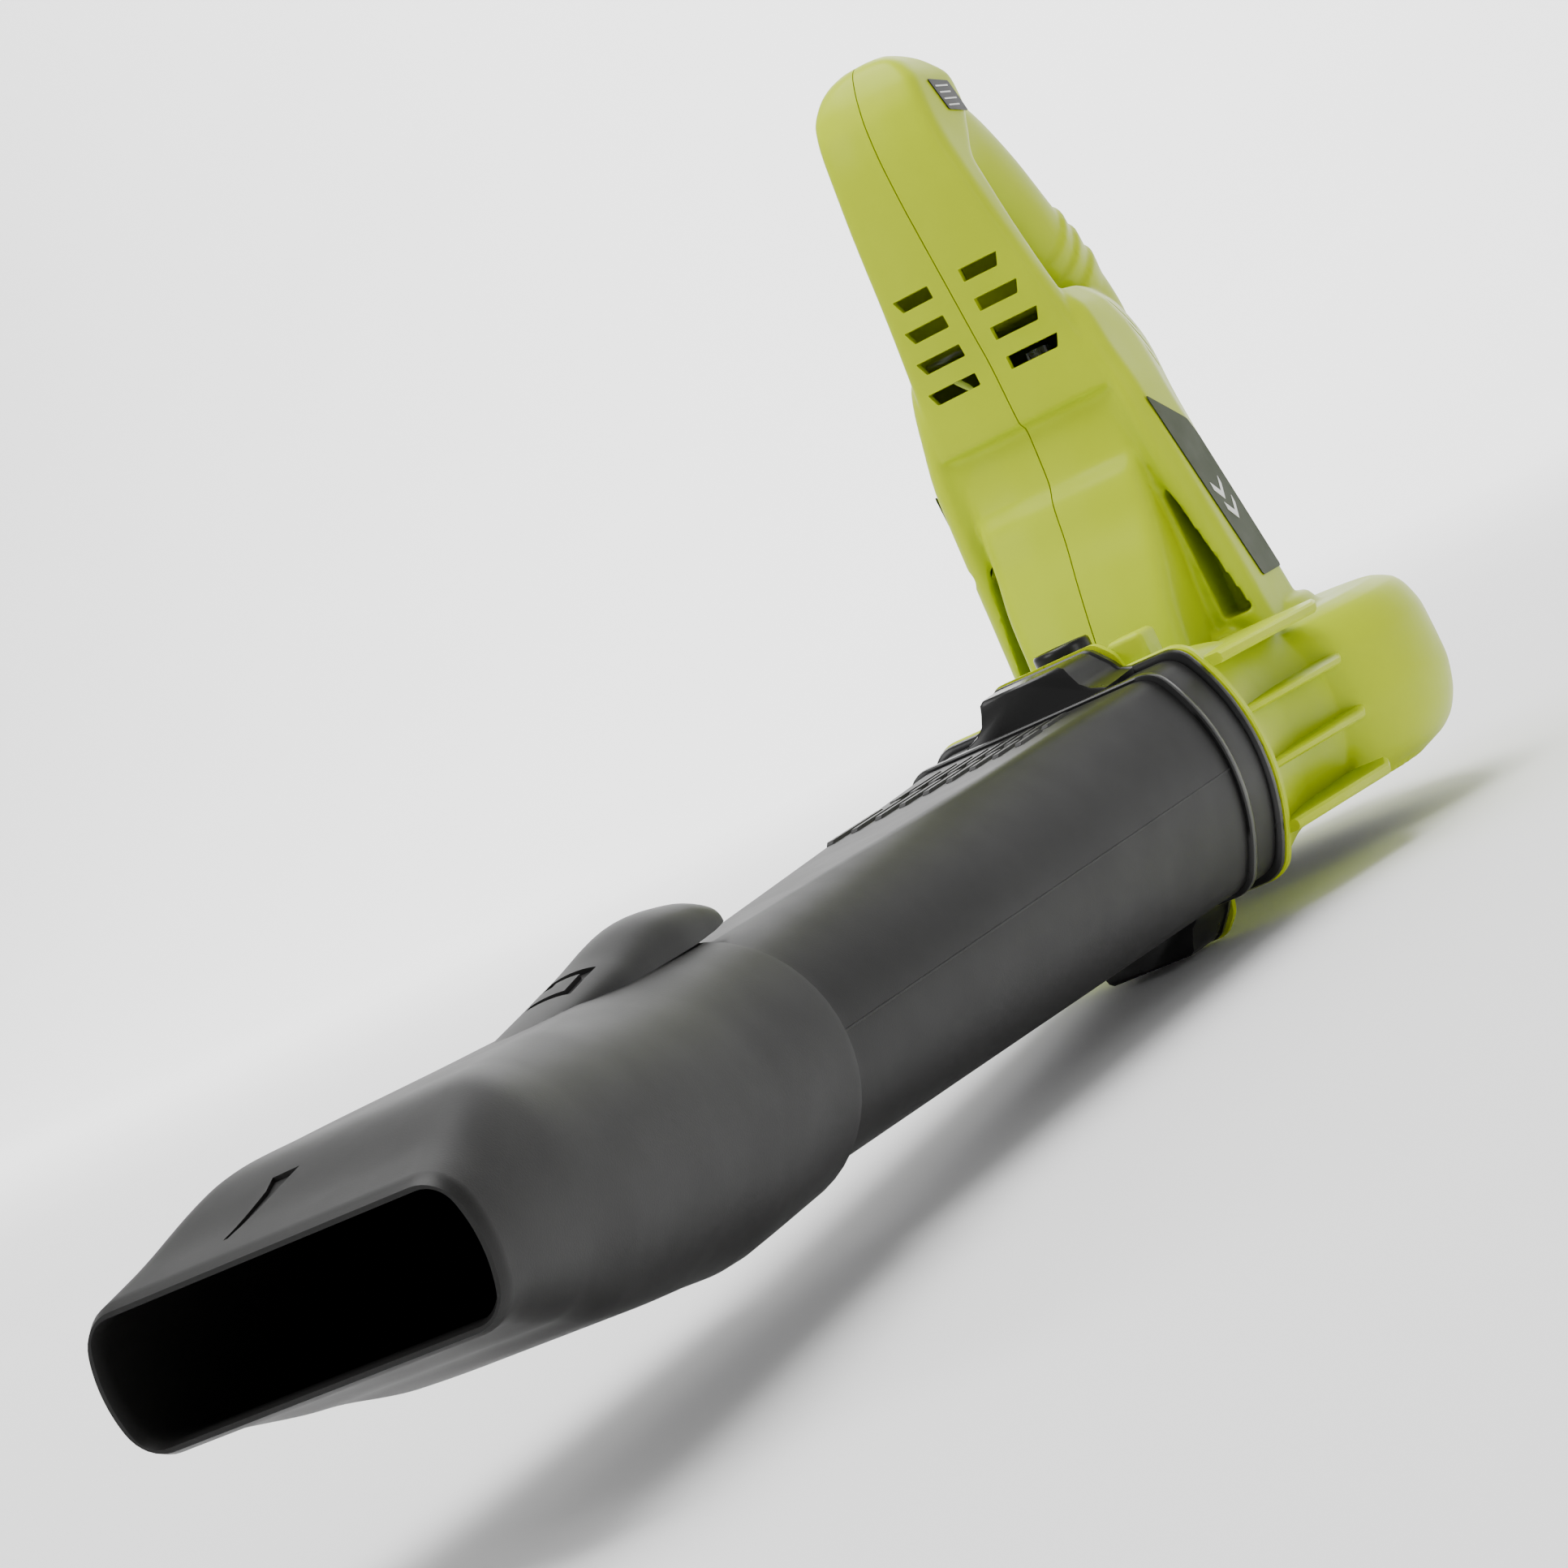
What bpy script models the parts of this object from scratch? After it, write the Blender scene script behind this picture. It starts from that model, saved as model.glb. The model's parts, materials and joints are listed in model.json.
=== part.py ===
"""Hand-held electric leaf blower with a removable tube and a flat nozzle.

Units are metres and +Z is up. The air leaves towards -Y. The origin lies on the
impeller's axis, at the underside of the inlet grille.
"""
from math import asin, cos, pi, radians, sin

import bmesh
import bpy
from mathutils import Matrix, Vector

MM = 0.001
GAP = 0.3 * MM                 # clearance between touching pieces
WALL = 2.8 * MM                # moulded wall of the housing
DUCT_WALL = 2.4 * MM           # moulded wall of tube and nozzle

# Fan casing
CASE_TOP = 58 * MM
TONGUE_R = 69.6 * MM            # scroll radius at the tongue
SCROLL_GROWTH = 0.152 * MM     # scroll radius gained per degree
TONGUE_DEG = -50.0
SCROLL_END_DEG = 205.0
INLET_R = 52 * MM
BASE_R = 60.5 * MM             # flat underside kept all round the inlet
PLATEAU_R = 48 * MM            # low step under the motor pod
PLATEAU_TOP = 63.5 * MM

# Air outlet and tube collar
DUCT_Z = 31 * MM               # height of the tube's axis
FLANGE_Y = -117 * MM           # front face of the housing's flange
FLANGE_T = 4 * MM
FLANGE_W, FLANGE_H = 53.1 * MM, 38.1 * MM
SPIGOT_W, SPIGOT_H = 47.2 * MM, 32.0 * MM
SPIGOT_LEN = 15 * MM
GASKET_T = 1 * MM
COLLAR_Y = -148 * MM           # front ring of the tube's collar
COLLAR_W, COLLAR_H = 51.9 * MM, 35.3 * MM
CORNER, SAG = 9 * MM, 11 * MM

# Tube and nozzle
TUBE_END_Y = -456 * MM
TAPER_END_Y = -408 * MM        # the tube is straight inside the nozzle's socket
TUBE_END_W, TUBE_END_H = 31.6 * MM, 29.4 * MM

# Handle and motor pod
SPINE_CROWN = 2.6 * MM         # how far the seam stands ahead of the front edges
GRIP_W, GRIP_D = 17 * MM, 18 * MM
VENT_ROWS, VENT_TOP, VENT_PITCH = 4, 197.9 * MM, 10.3 * MM
BUTTON_Y, BUTTON_R, BUTTON_TOP = -97 * MM, 9.3 * MM, 82 * MM
BUTTON_FLOOR = 66.2 * MM       # floor of the pocket that guides the button

# Motor and fan, all on the Z axis
SHAFT_R = 4 * MM
STATOR_R = 27 * MM
STATOR_Z = (94 * MM, 140 * MM)
ARMATURE_R = 15.5 * MM
IMPELLER_R = 58 * MM
IMPELLER_Z = (11 * MM, 50 * MM)
BLADES = 9

COLOURS = {
    "green_plastic": ((0.58, 0.68, 0.03), 0.42, 0.0),
    "black_plastic": ((0.012, 0.012, 0.012), 0.38, 0.0),
    "charcoal_plastic": ((0.045, 0.043, 0.042), 0.5, 0.0),
    "black_rubber": ((0.02, 0.02, 0.02), 0.8, 0.0),
    "olive_label": ((0.06, 0.08, 0.012), 0.45, 0.0),
    "black_label": ((0.015, 0.015, 0.015), 0.5, 0.0),
    "grey_nylon": ((0.3, 0.3, 0.29), 0.5, 0.0),
    "steel": ((0.55, 0.55, 0.56), 0.3, 1.0),
    "lamination": ((0.25, 0.25, 0.26), 0.45, 1.0),
    "aluminium_cast": ((0.6, 0.6, 0.6), 0.4, 1.0),
    "copper": ((0.72, 0.33, 0.14), 0.3, 1.0),
    "brass": ((0.75, 0.58, 0.25), 0.3, 1.0),
    "carbon": ((0.03, 0.03, 0.03), 0.7, 0.0),
    "capacitor_yellow": ((0.75, 0.55, 0.06), 0.45, 0.0),
}


# ---------------------------------------------------------------- scene helpers
def clear_scene():
    for obj in list(bpy.data.objects):
        bpy.data.objects.remove(obj, do_unlink=True)


def new_collection(name):
    collection = bpy.data.collections.new(name)
    bpy.context.scene.collection.children.link(collection)
    return collection


def material(name):
    found = bpy.data.materials.get(name)
    if found:
        return found
    colour, roughness, metallic = COLOURS[name]
    mat = bpy.data.materials.new(name)
    mat.use_nodes = True
    shader = mat.node_tree.nodes["Principled BSDF"]
    shader.inputs["Base Color"].default_value = (*colour, 1.0)
    shader.inputs["Roughness"].default_value = roughness
    shader.inputs["Metallic"].default_value = metallic
    mat.diffuse_color = (*colour, 1.0)
    return mat


def to_object(name, bm, mat_name, collection=None, smooth=35):
    bmesh.ops.recalc_face_normals(bm, faces=bm.faces)
    mesh = bpy.data.meshes.new(name)
    bm.to_mesh(mesh)
    bm.free()
    if smooth:
        mesh.shade_smooth()
        mesh.set_sharp_from_angle(angle=radians(smooth))
    obj = bpy.data.objects.new(name, mesh)
    (collection or PARTS).objects.link(obj)
    if mat_name:
        mesh.materials.append(material(mat_name))
    return obj


def cutter(name, bm):
    obj = to_object(name, bm, None, CUTTERS, smooth=0)
    obj.hide_render = True
    obj.display_type = "WIRE"
    return obj


def boolean(obj, tools, operation):
    """Add one exact Boolean modifier for each tool object."""
    for tool in tools:
        mod = obj.modifiers.new(tool.name, "BOOLEAN")
        mod.operation = operation
        mod.solver = "EXACT"
        mod.object = tool
    return obj


def evaluated_copy(obj, name, collection):
    """Return a new object holding obj's mesh with its modifiers applied."""
    graph = bpy.context.evaluated_depsgraph_get()
    mesh = bpy.data.meshes.new_from_object(obj.evaluated_get(graph))
    copy = bpy.data.objects.new(name, mesh)
    collection.objects.link(copy)
    return copy


# ---------------------------------------------------------------- shape helpers
def box(low, high):
    bm = bmesh.new()
    bmesh.ops.create_cube(bm, size=1.0)
    low, high = Vector(low), Vector(high)
    size = high - low
    bmesh.ops.scale(bm, vec=size, verts=bm.verts)
    bmesh.ops.translate(bm, vec=(low + high) / 2, verts=bm.verts)
    return bm


def cone(r1, r2, low, high, segments=32, axis="Z", centre=(0, 0)):
    """Closed cone or cylinder between two stations on an axis through centre."""
    bm = bmesh.new()
    bmesh.ops.create_cone(bm, cap_ends=True, segments=segments, radius1=r1, radius2=r2,
                          depth=high - low)
    bmesh.ops.translate(bm, vec=(0, 0, (low + high) / 2), verts=bm.verts)
    if axis == "X":
        bmesh.ops.rotate(bm, matrix=Matrix.Rotation(pi / 2, 3, "Y"), verts=bm.verts)
        bmesh.ops.translate(bm, vec=(0, centre[0], centre[1]), verts=bm.verts)
    elif axis == "Y":
        bmesh.ops.rotate(bm, matrix=Matrix.Rotation(-pi / 2, 3, "X"), verts=bm.verts)
        bmesh.ops.translate(bm, vec=(centre[0], 0, centre[1]), verts=bm.verts)
    else:
        bmesh.ops.translate(bm, vec=(centre[0], centre[1], 0), verts=bm.verts)
    return bm


def loft(rings, cyclic=False):
    """Skin a list of equal-length rings; capped, or closed on itself when cyclic."""
    bm = bmesh.new()
    rows = [[bm.verts.new(p) for p in ring] for ring in rings]
    count = len(rows[0])
    spans = len(rows) if cyclic else len(rows) - 1
    for i in range(spans):
        a, b = rows[i], rows[(i + 1) % len(rows)]
        for k in range(count):
            j = (k + 1) % count
            bm.faces.new((a[k], a[j], b[j], b[k]))
    if not cyclic:
        bm.faces.new(rows[0])
        bm.faces.new(rows[-1])
    return bm


def prism(outline, low, high):
    """Extrude a Y-Z outline along X."""
    return loft([[(x, y, z) for y, z in outline] for x in (low, high)])


def turned(name, profile, mat_name, segments=32, centre=(0, 0)):
    """Turn a closed (radius, height) profile about a vertical axis with Screw."""
    bm = bmesh.new()
    verts = [bm.verts.new((r, 0, z)) for r, z in profile]
    for a, b in zip(verts, verts[1:] + verts[:1]):
        if not (abs(a.co.x) < 1e-7 and abs(b.co.x) < 1e-7):
            bm.edges.new((a, b))
    mesh = bpy.data.meshes.new(name)
    bm.to_mesh(mesh)
    bm.free()
    mesh.materials.append(material(mat_name))
    obj = bpy.data.objects.new(name, mesh)
    obj.location = (centre[0], centre[1], 0)
    PARTS.objects.link(obj)
    screw = obj.modifiers.new("turn", "SCREW")
    screw.axis = "Z"
    screw.steps = screw.render_steps = segments
    screw.use_merge_vertices = True
    screw.merge_threshold = 0.00001
    screw.use_smooth_shade = True
    return obj


def duct_ring(y, half_w, half_h, corner=CORNER, sag=SAG, centre=(0.0, DUCT_Z)):
    """X-Z ring with flat top and bottom, bowed sides and round corners."""
    side_r = (half_h ** 2 + sag ** 2) / (2 * sag)
    arc_x = half_w - side_r
    lift = asin(min(1.0, (half_h - corner) / (side_r - corner)))
    quarter = [(arc_x + side_r * cos(t), side_r * sin(t)) for t in (0, lift / 2, lift)]
    knee_x, knee_z = arc_x + (side_r - corner) * cos(lift), (side_r - corner) * sin(lift)
    for t in ((lift + pi / 2) / 2, pi / 2):
        quarter.append((knee_x + corner * cos(t), knee_z + corner * sin(t)))
    quarter.append((0.0, half_h))
    ring = quarter + [(-x, z) for x, z in reversed(quarter[:-1])]
    ring += [(-x, -z) for x, z in quarter[1:]] + [(x, -z) for x, z in reversed(quarter[1:-1])]
    return [(centre[0] + x, y, centre[1] + z) for x, z in ring]


def mirrored_ring(z, half):
    """Close a right-hand (x, y) outline, listed front to rear, by mirroring it at X = 0."""
    return [(x, y, z) for x, y in half] + [(-x, y, z) for x, y in reversed(half)]


# ---------------------------------------------------------------- housing solids
def scroll_radius(deg):
    """Radius of the scroll: grows from the tongue, then falls back across the outlet."""
    turn = (deg - TONGUE_DEG) % 360
    sweep = SCROLL_END_DEG - TONGUE_DEG
    if turn <= sweep:
        return TONGUE_R + SCROLL_GROWTH * turn
    back = (turn - sweep) / (360 - sweep)
    return TONGUE_R + SCROLL_GROWTH * sweep * (1 - back)


def scroll(inset):
    """Fan casing as rings stacked along Z, with rounded rims."""
    rings = []
    steps = ((0, 18.5), (3, 11), (8, 5.6), (16, 1.8), (26, 0), (42, 0.4), (50, 2.4), (55, 5.6),
             (58, 12))
    squeeze = (CASE_TOP - 2 * inset) / CASE_TOP
    for height, tuck in steps:
        z = inset + height * MM * squeeze
        ring = []
        for k in range(36):
            deg = k * 10
            full = scroll_radius(deg)
            r = full - inset - min(tuck * MM, full - BASE_R)
            ring.append((r * cos(radians(deg)), r * sin(radians(deg)), z))
        rings.append(ring)
    return loft(rings)


def outlet(inset):
    """Duct from the scroll to the flange; (y, centre x, centre z, half width, half height)."""
    stations = [
        (-30, -14, 31, 72, 27),
        (-55, -10, 31, 64, 29.5),
        (-82, -5, 31.5, 55, 33.4),
        (-101, 0, 31, 50.4, 35.2),
        (-116.5, 0, 31, 50.4, 35.2),
    ]
    if inset:
        stations.append((-125, 0, 31, 50.4, 35.2))
    return loft([duct_ring(y * MM, w * MM - inset, h * MM - inset, CORNER, SAG,
                           (x * MM, z * MM)) for y, x, z, w, h in stations])


def spine(inset):
    """Front box, vent wall and head: (z, front y, rear y, front half width, side half width)."""
    stations = [
        (60, -72, 0, 22, 26),
        (76, -67.6, 0, 23.4, 26.6),
        (96.5, -59.6, 0, 25.6, 28.6),
        (110, -53.3, 0, 26.5, 29),
        (122, -49.3, 0, 27, 29.6),
        (129, -44.3, 0, 28, 31),
        (141, -43, 0, 30.6, 32.6),
        (151, -44, -4, 31.6, 33.5),
        (171, -47, -16, 28.6, 30.6),
        (182, -49.4, -28, 26.6, 28.6),
        (203, -54, -31, 23.5, 25.5),
        (217, -57.1, -32, 21.7, 23.7),
        (231, -59.8, -32, 19.9, 21.9),
        (244, -61, -20, 18.4, 20.4),
        (253.5, -60.2, -12, 17.9, 19.8),
        (262, -57.4, -11, 17.3, 19.1),
        (268.5, -53.8, -17, 14, 15.5),
        (272.3, -50.5, -23, 9.5, 11),
        (274.5, -46, -29, 5.5, 7.5),
    ]
    if inset:
        stations[0] = (66.5, -70, 0, 22, 26)
        stations = [s for s in stations if s[0] < 274]
    rings = []
    for z, front, rear, w_front, w_side in stations:
        front, rear = front * MM + inset, rear * MM - inset
        w_front, w_side = w_front * MM - inset, w_side * MM - inset
        chamfer = min(4 * MM, (rear - front) / 3)
        rings.append(mirrored_ring(z * MM, [
            (w_front * 0.45, front), (w_front, front + SPINE_CROWN),
            (w_side, front + SPINE_CROWN + chamfer),
            (w_side, rear - 2 * chamfer), (w_side - chamfer, rear)]))
    return loft(rings)


def pod(inset):
    """Motor pod: (z, half width, front y, end of the flat side, rear half width, rear y)."""
    stations = [
        (60, 45, -36, 3, 20, 74),
        (91, 42.8, -39, -1, 20, 67),
        (109, 41.5, -41, -5, 20, 62),
        (127, 40.2, -43, -9, 20, 61),
        (143, 39.05, -44, -12, 19.5, 61),
        (160, 36, -44, -8, 18, 64),
        (175, 33, -42, -12, 16, 58),
        (184, 27, -40, -18, 13, 50),
    ]
    if inset:
        stations[0] = (62, 44.8, -36, 3, 20, 73.5)
        stations[-1] = (181, 29, -40, -17, 13, 52)
    rings = []
    for z, w, front, side_end, w_rear, rear in stations:
        w, w_rear = w * MM - inset, w_rear * MM - inset
        front, rear = front * MM + inset, rear * MM - inset
        side_end *= MM
        rings.append(mirrored_ring(z * MM, [
            (w - 5 * MM, front), (w, front + 5 * MM), (w, side_end),
            (0.35 * w_rear + 0.65 * w, 0.35 * rear + 0.65 * side_end),
            (0.8 * w_rear + 0.2 * w, 0.75 * rear + 0.25 * side_end), (0.85 * w_rear, rear)]))
    return loft(rings)


def grip_path():
    """Centre line of the rear grip in the X = 0 plane."""
    return [Vector((0, y * MM, z * MM)) for y, z in (
        (-34, 250), (-12, 245), (9, 230), (26, 210), (42, 190), (50, 172), (50, 150))]


def grip(inset):
    points = grip_path()
    rings = []
    last = len(points) - 1
    for i, point in enumerate(points):
        along = (points[min(i + 1, last)] - points[max(i - 1, 0)]).normalized()
        across = Vector((0, -along.z, along.y))
        shrink = inset + (2 * MM if i in (0, last) else 0)
        ring = []
        for k in range(16):
            turn = 2 * pi * k / 16
            side = Vector(((GRIP_W - shrink) * cos(turn), 0, 0))
            ring.append(point + side + across * ((GRIP_D - shrink) * sin(turn)))
        rings.append(ring)
    return loft(rings)


def flange_solids():
    """Outlet flange with the raised pads that back the tube's collar boxes."""
    y0, y1 = FLANGE_Y, FLANGE_Y + FLANGE_T
    plate = loft([duct_ring(y, FLANGE_W, FLANGE_H) for y in (y0, y1)])
    pads = []
    for side in (1, -1):
        rise = FLANGE_H - 3 * MM
        pads.append(loft([[(x, y, DUCT_Z + side * z) for x, z in (
            (24 * MM, rise), (22 * MM, 43 * MM), (17 * MM, 48.5 * MM),
            (-17 * MM, 48.5 * MM), (-22 * MM, 43 * MM), (-24 * MM, rise))]
            for y in (y0, y1 - 0.4 * MM)]))
    return [plate] + pads


def neck_ribs():
    """Thin webs from the flange's sides back to the scroll."""
    ribs = []
    for side, reach in ((1, 68), (-1, 62)):
        for z in (60, 42, 24, 5.5):
            outline = ((30, -114.5), (51, -114.5), (reach, -62), (reach - 6, -40), (30, -40))
            plan = [(side * x * MM, y * MM) for x, y in outline]
            ribs.append(loft([[(x, y, (z + t) * MM) for x, y in plan] for t in (-1.2, 1.2)]))
    return ribs


def screw_places():
    """Side screws that hold the two housing halves together, as (y, z, length)."""
    return [(-35 * MM, 112 * MM, 60 * MM), (-30 * MM, 262 * MM, 36 * MM),
            (38 * MM, 190 * MM, 31 * MM), (52 * MM, 92 * MM, 41 * MM),
            (95 * MM, 29 * MM, 18 * MM)]


def housing():
    """Build the whole shell once, then split it at X = 0 into two halves."""
    shell = cutter("shell_body", scroll(0))
    outer = [outlet(0), spine(0), pod(0), grip(0)] + flange_solids() + neck_ribs()
    outer.append(cone(PLATEAU_R + 4 * MM, PLATEAU_R - 2 * MM, 50 * MM, PLATEAU_TOP, 40))
    outer.append(cone(12.6 * MM, 12.2 * MM, 60 * MM, 74 * MM, 24, centre=(0, BUTTON_Y)))
    outer.append(box((19 * MM, -114 * MM, 60 * MM), (31 * MM, -99 * MM, 77 * MM)))
    outer.append(cone(6.5 * MM, 6.5 * MM, -10 * MM, 10 * MM, 20, "X", screw_places()[-1][:2]))
    boolean(shell, [cutter(f"outer_{i}", bm) for i, bm in enumerate(outer)], "UNION")

    inner = [scroll(WALL), outlet(WALL), spine(WALL), pod(WALL), grip(WALL)]
    inner.append(cone(12 * MM, 12 * MM, 50 * MM, 72 * MM, 24))
    inner.append(cone(INLET_R, INLET_R, -2 * MM, 6 * MM, 48))
    core = cutter("shell_core", inner.pop(0))
    boolean(core, [cutter(f"inner_{i}", bm) for i, bm in enumerate(inner)], "UNION")
    boolean(core, [cutter("pocket_walls", side_pockets(WALL))], "DIFFERENCE")
    boolean(shell, [evaluated_copy_hidden(core)], "DIFFERENCE")

    boolean(shell, [cutter("vents", vent_slots()), cutter("pockets", side_pockets(0))],
            "DIFFERENCE")
    pocket = cone(BUTTON_R + 0.5 * MM, BUTTON_R + 0.5 * MM, BUTTON_FLOOR, 90 * MM, 24,
                  centre=(0, BUTTON_Y))
    boolean(shell, [cutter("button_pocket", pocket), cutter("trigger_slot", trigger_slot()),
                    cutter("inlet_socket_hole", inlet_hole())], "DIFFERENCE")

    bosses = []
    bores = []
    for i, (y, z, length) in enumerate(screw_places()):
        if i < 4:
            bosses.append(cutter(f"boss_{i}", cone(4.2 * MM, 4.2 * MM, -length / 2,
                                                   length / 2, 16, "X", (y, z))))
        bores.append(cutter(f"bore_{i}", cone(1.9 * MM, 1.9 * MM, -length / 2 - MM,
                                              length / 2 - 4 * MM, 16, "X", (y, z))))
        bores.append(cutter(f"sink_{i}", cone(3.6 * MM, 3.6 * MM, -length / 2 - 20 * MM,
                                              -length / 2 + 2 * MM, 16, "X", (y, z))))
    boolean(shell, bosses, "UNION")
    boolean(shell, bores, "DIFFERENCE")

    whole = evaluated_copy_hidden(shell)
    reach = 200 * MM
    for side, name in ((-1, "housing_right"), (1, "housing_left")):
        keep = cutter(f"{name}_side", box(
            (-reach if side < 0 else 0.15 * MM, -reach, -reach),
            (reach if side > 0 else -0.15 * MM, reach, 2 * reach)))
        half = evaluated_copy(whole, name, PARTS)
        half.data.materials.clear()
        half.data.materials.append(material("green_plastic"))
        boolean(half, [keep], "INTERSECT")


def evaluated_copy_hidden(obj):
    copy = evaluated_copy(obj, obj.name + "_solid", CUTTERS)
    copy.hide_render = True
    copy.display_type = "WIRE"
    return copy


def side_pockets(grow):
    """Tapered recess on each side, between the front box and the pod's front corner."""
    outline = ((30.5 * MM - grow, 67 * MM - grow), (41 * MM + grow, 67 * MM - grow),
               (34.3 * MM + grow, 107 * MM), (31.5 * MM - grow, 119 * MM + 2 * grow))
    pockets = bmesh.new()
    for side in (1, -1):
        near, far = [[pockets.verts.new((side * x, y, z)) for x, z in outline]
                     for y in (-60 * MM, -14 * MM + grow)]
        pockets.faces.new(near)
        pockets.faces.new(far)
        for k in range(4):
            j = (k + 1) % 4
            pockets.faces.new((near[k], near[j], far[j], far[k]))
    return pockets


def vent_slots():
    """Four slots on each side of the seam, through the front wall only."""
    slots = bmesh.new()
    for row in range(VENT_ROWS):
        z = VENT_TOP - row * VENT_PITCH
        front = (-53.6 + 2.4 * row) * MM
        outer = (17.6 + 1.6 * row) * MM
        for side in (1, -1):
            corners = ((5.8 * MM, z), (5.8 * MM, z + 4.3 * MM), (outer + 1.8 * MM, z + 4.3 * MM),
                       (outer, z))
            near, far = [[slots.verts.new((side * x, y, h)) for x, h in corners]
                         for y in (front - 8 * MM, front + 8 * MM)]
            slots.faces.new(near)
            slots.faces.new(far)
            for k in range(4):
                j = (k + 1) % 4
                slots.faces.new((near[k], near[j], far[j], far[k]))
    return slots


# ---------------------------------------------------------------- trigger and switch
TRIGGER_PIVOT = (4 * MM, 226 * MM)
TRIGGER_W = 6 * MM


def trigger_outline(grow):
    """Side view of the trigger, which hangs in the inner side of the grip."""
    return [(y * MM, z * MM) for y, z in (
        (0 - grow, 229 + grow), (7 + grow, 229 + grow), (22 + grow, 207),
        (18 + grow, 196 - grow), (9 - grow, 196 - grow), (-1 - grow, 212))]


def trigger_slot():
    return prism(trigger_outline(0.8), -TRIGGER_W - 0.6 * MM, TRIGGER_W + 0.6 * MM)


def trigger():
    """Finger trigger, turning on a pin at its upper end."""
    obj = to_object("trigger", prism(trigger_outline(0), -TRIGGER_W, TRIGGER_W),
                    "black_plastic")
    bevel = obj.modifiers.new("edges", "BEVEL")
    bevel.width = 1.2 * MM
    bevel.segments = 2
    pin_hole = cone(1.8 * MM, 1.8 * MM, -20 * MM, 20 * MM, 16, "X", TRIGGER_PIVOT)
    boolean(obj, [cutter("trigger_pin_hole", pin_hole)], "DIFFERENCE")
    set_origin(obj, (0, *TRIGGER_PIVOT))
    to_object("trigger_pin", cone(1.5 * MM, 1.5 * MM, -10 * MM, 10 * MM, 16, "X",
                                  TRIGGER_PIVOT), "steel")


def set_origin(obj, point):
    """Move an object's origin to a point without moving its shape."""
    obj.data.transform(Matrix.Translation(-Vector(point)))
    obj.location = point


def switch_body():
    low, high = (-9 * MM, 26.5 * MM, 196 * MM), (9 * MM, 33 * MM, 208 * MM)
    obj = to_object("switch_body", box(low, high), "black_plastic")
    bevel = obj.modifiers.new("edges", "BEVEL")
    bevel.width = 0.6 * MM
    bevel.segments = 1


# ---------------------------------------------------------------- power inlet
def inlet_hole():
    return cone(13 * MM, 13 * MM, 54 * MM, 90 * MM, 24, "Y", (0, 120 * MM))


def power_inlet():
    """Recessed cup at the rear for an extension lead, with two flat pins."""
    outer, inner = 12.6 * MM, 10.8 * MM
    rings = []
    for r, y in ((outer, 43), (outer, 61), (inner, 61), (inner, 46)):
        rings.append([(r * cos(t), y * MM, 120 * MM + r * sin(t))
                      for t in (2 * pi * k / 24 for k in range(24))])
    to_object("power_inlet", loft(rings), "black_plastic")
    for side, name in ((-1, "inlet_pin_right"), (1, "inlet_pin_left")):
        x = side * 4.5 * MM
        to_object(name, box((x - 0.8 * MM, 46.3 * MM, 116.8 * MM),
                            (x + 0.8 * MM, 59 * MM, 123.2 * MM)), "brass")


# ---------------------------------------------------------------- inlet grille
def inlet_grille():
    """Round intake guard: rings and spokes around a flat hub, with a retaining lip."""
    top = 2.6 * MM
    base = to_object("inlet_grille", cone(11 * MM, 11 * MM, 0, top, 32), "black_plastic")
    tools = []
    for i, (r_in, r_out) in enumerate(((17.5, 19.7), (26, 28.2), (34.5, 36.7), (43, 51.6))):
        profile = [[(r * MM * cos(t), r * MM * sin(t), z) for t in
                    (2 * pi * k / 36 for k in range(36))]
                   for r, z in ((r_out, 0), (r_out, top), (r_in, top), (r_in, 0))]
        tools.append(cutter(f"grille_ring_{i}", loft(profile, cyclic=True)))
    for k in range(4):
        spoke = box((-47 * MM, -1.4 * MM, 0.25 * MM), (47 * MM, 1.4 * MM, 2.35 * MM))
        bmesh.ops.rotate(spoke, matrix=Matrix.Rotation(k * pi / 4, 3, "Z"), verts=spoke.verts)
        tools.append(cutter(f"grille_spoke_{k}", spoke))
    lip = [[(r * MM * cos(t), r * MM * sin(t), z * MM) for t in
            (2 * pi * k / 36 for k in range(36))]
           for r, z in ((57, 3.1), (57, 5.1), (47, 5.1), (47, 1.5), (51.4, 1.5), (51.4, 3.1))]
    tools.append(cutter("grille_lip", loft(lip, cyclic=True)))
    boolean(base, tools, "UNION")


# ---------------------------------------------------------------- tube and nozzle
def tube_section(y):
    """Half width, half height and side bow of the tube at y, from collar to round end."""
    s = min(1.0, (y - COLLAR_Y) / (TAPER_END_Y - COLLAR_Y))
    w = 50.3 * MM + (TUBE_END_W - 50.3 * MM) * s
    h = 33.9 * MM + (TUBE_END_H - 33.9 * MM) * s
    bow = SAG + (0.93 * h - SAG) * s
    return w, h, bow


def hollow(stations, wall):
    """Closed hollow duct: outer skin out along the stations, inner skin back."""
    rings = []
    for y, w, h, corner, bow, cz in stations:
        rings.append(duct_ring(y, w, h, corner, bow, (0, cz)))
    for y, w, h, corner, bow, cz in reversed(stations):
        rings.append(duct_ring(y, w - wall, h - wall, max(corner - wall, MM),
                               bow * (h - wall) / h, (0, cz)))
    return loft(rings, cyclic=True)


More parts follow.
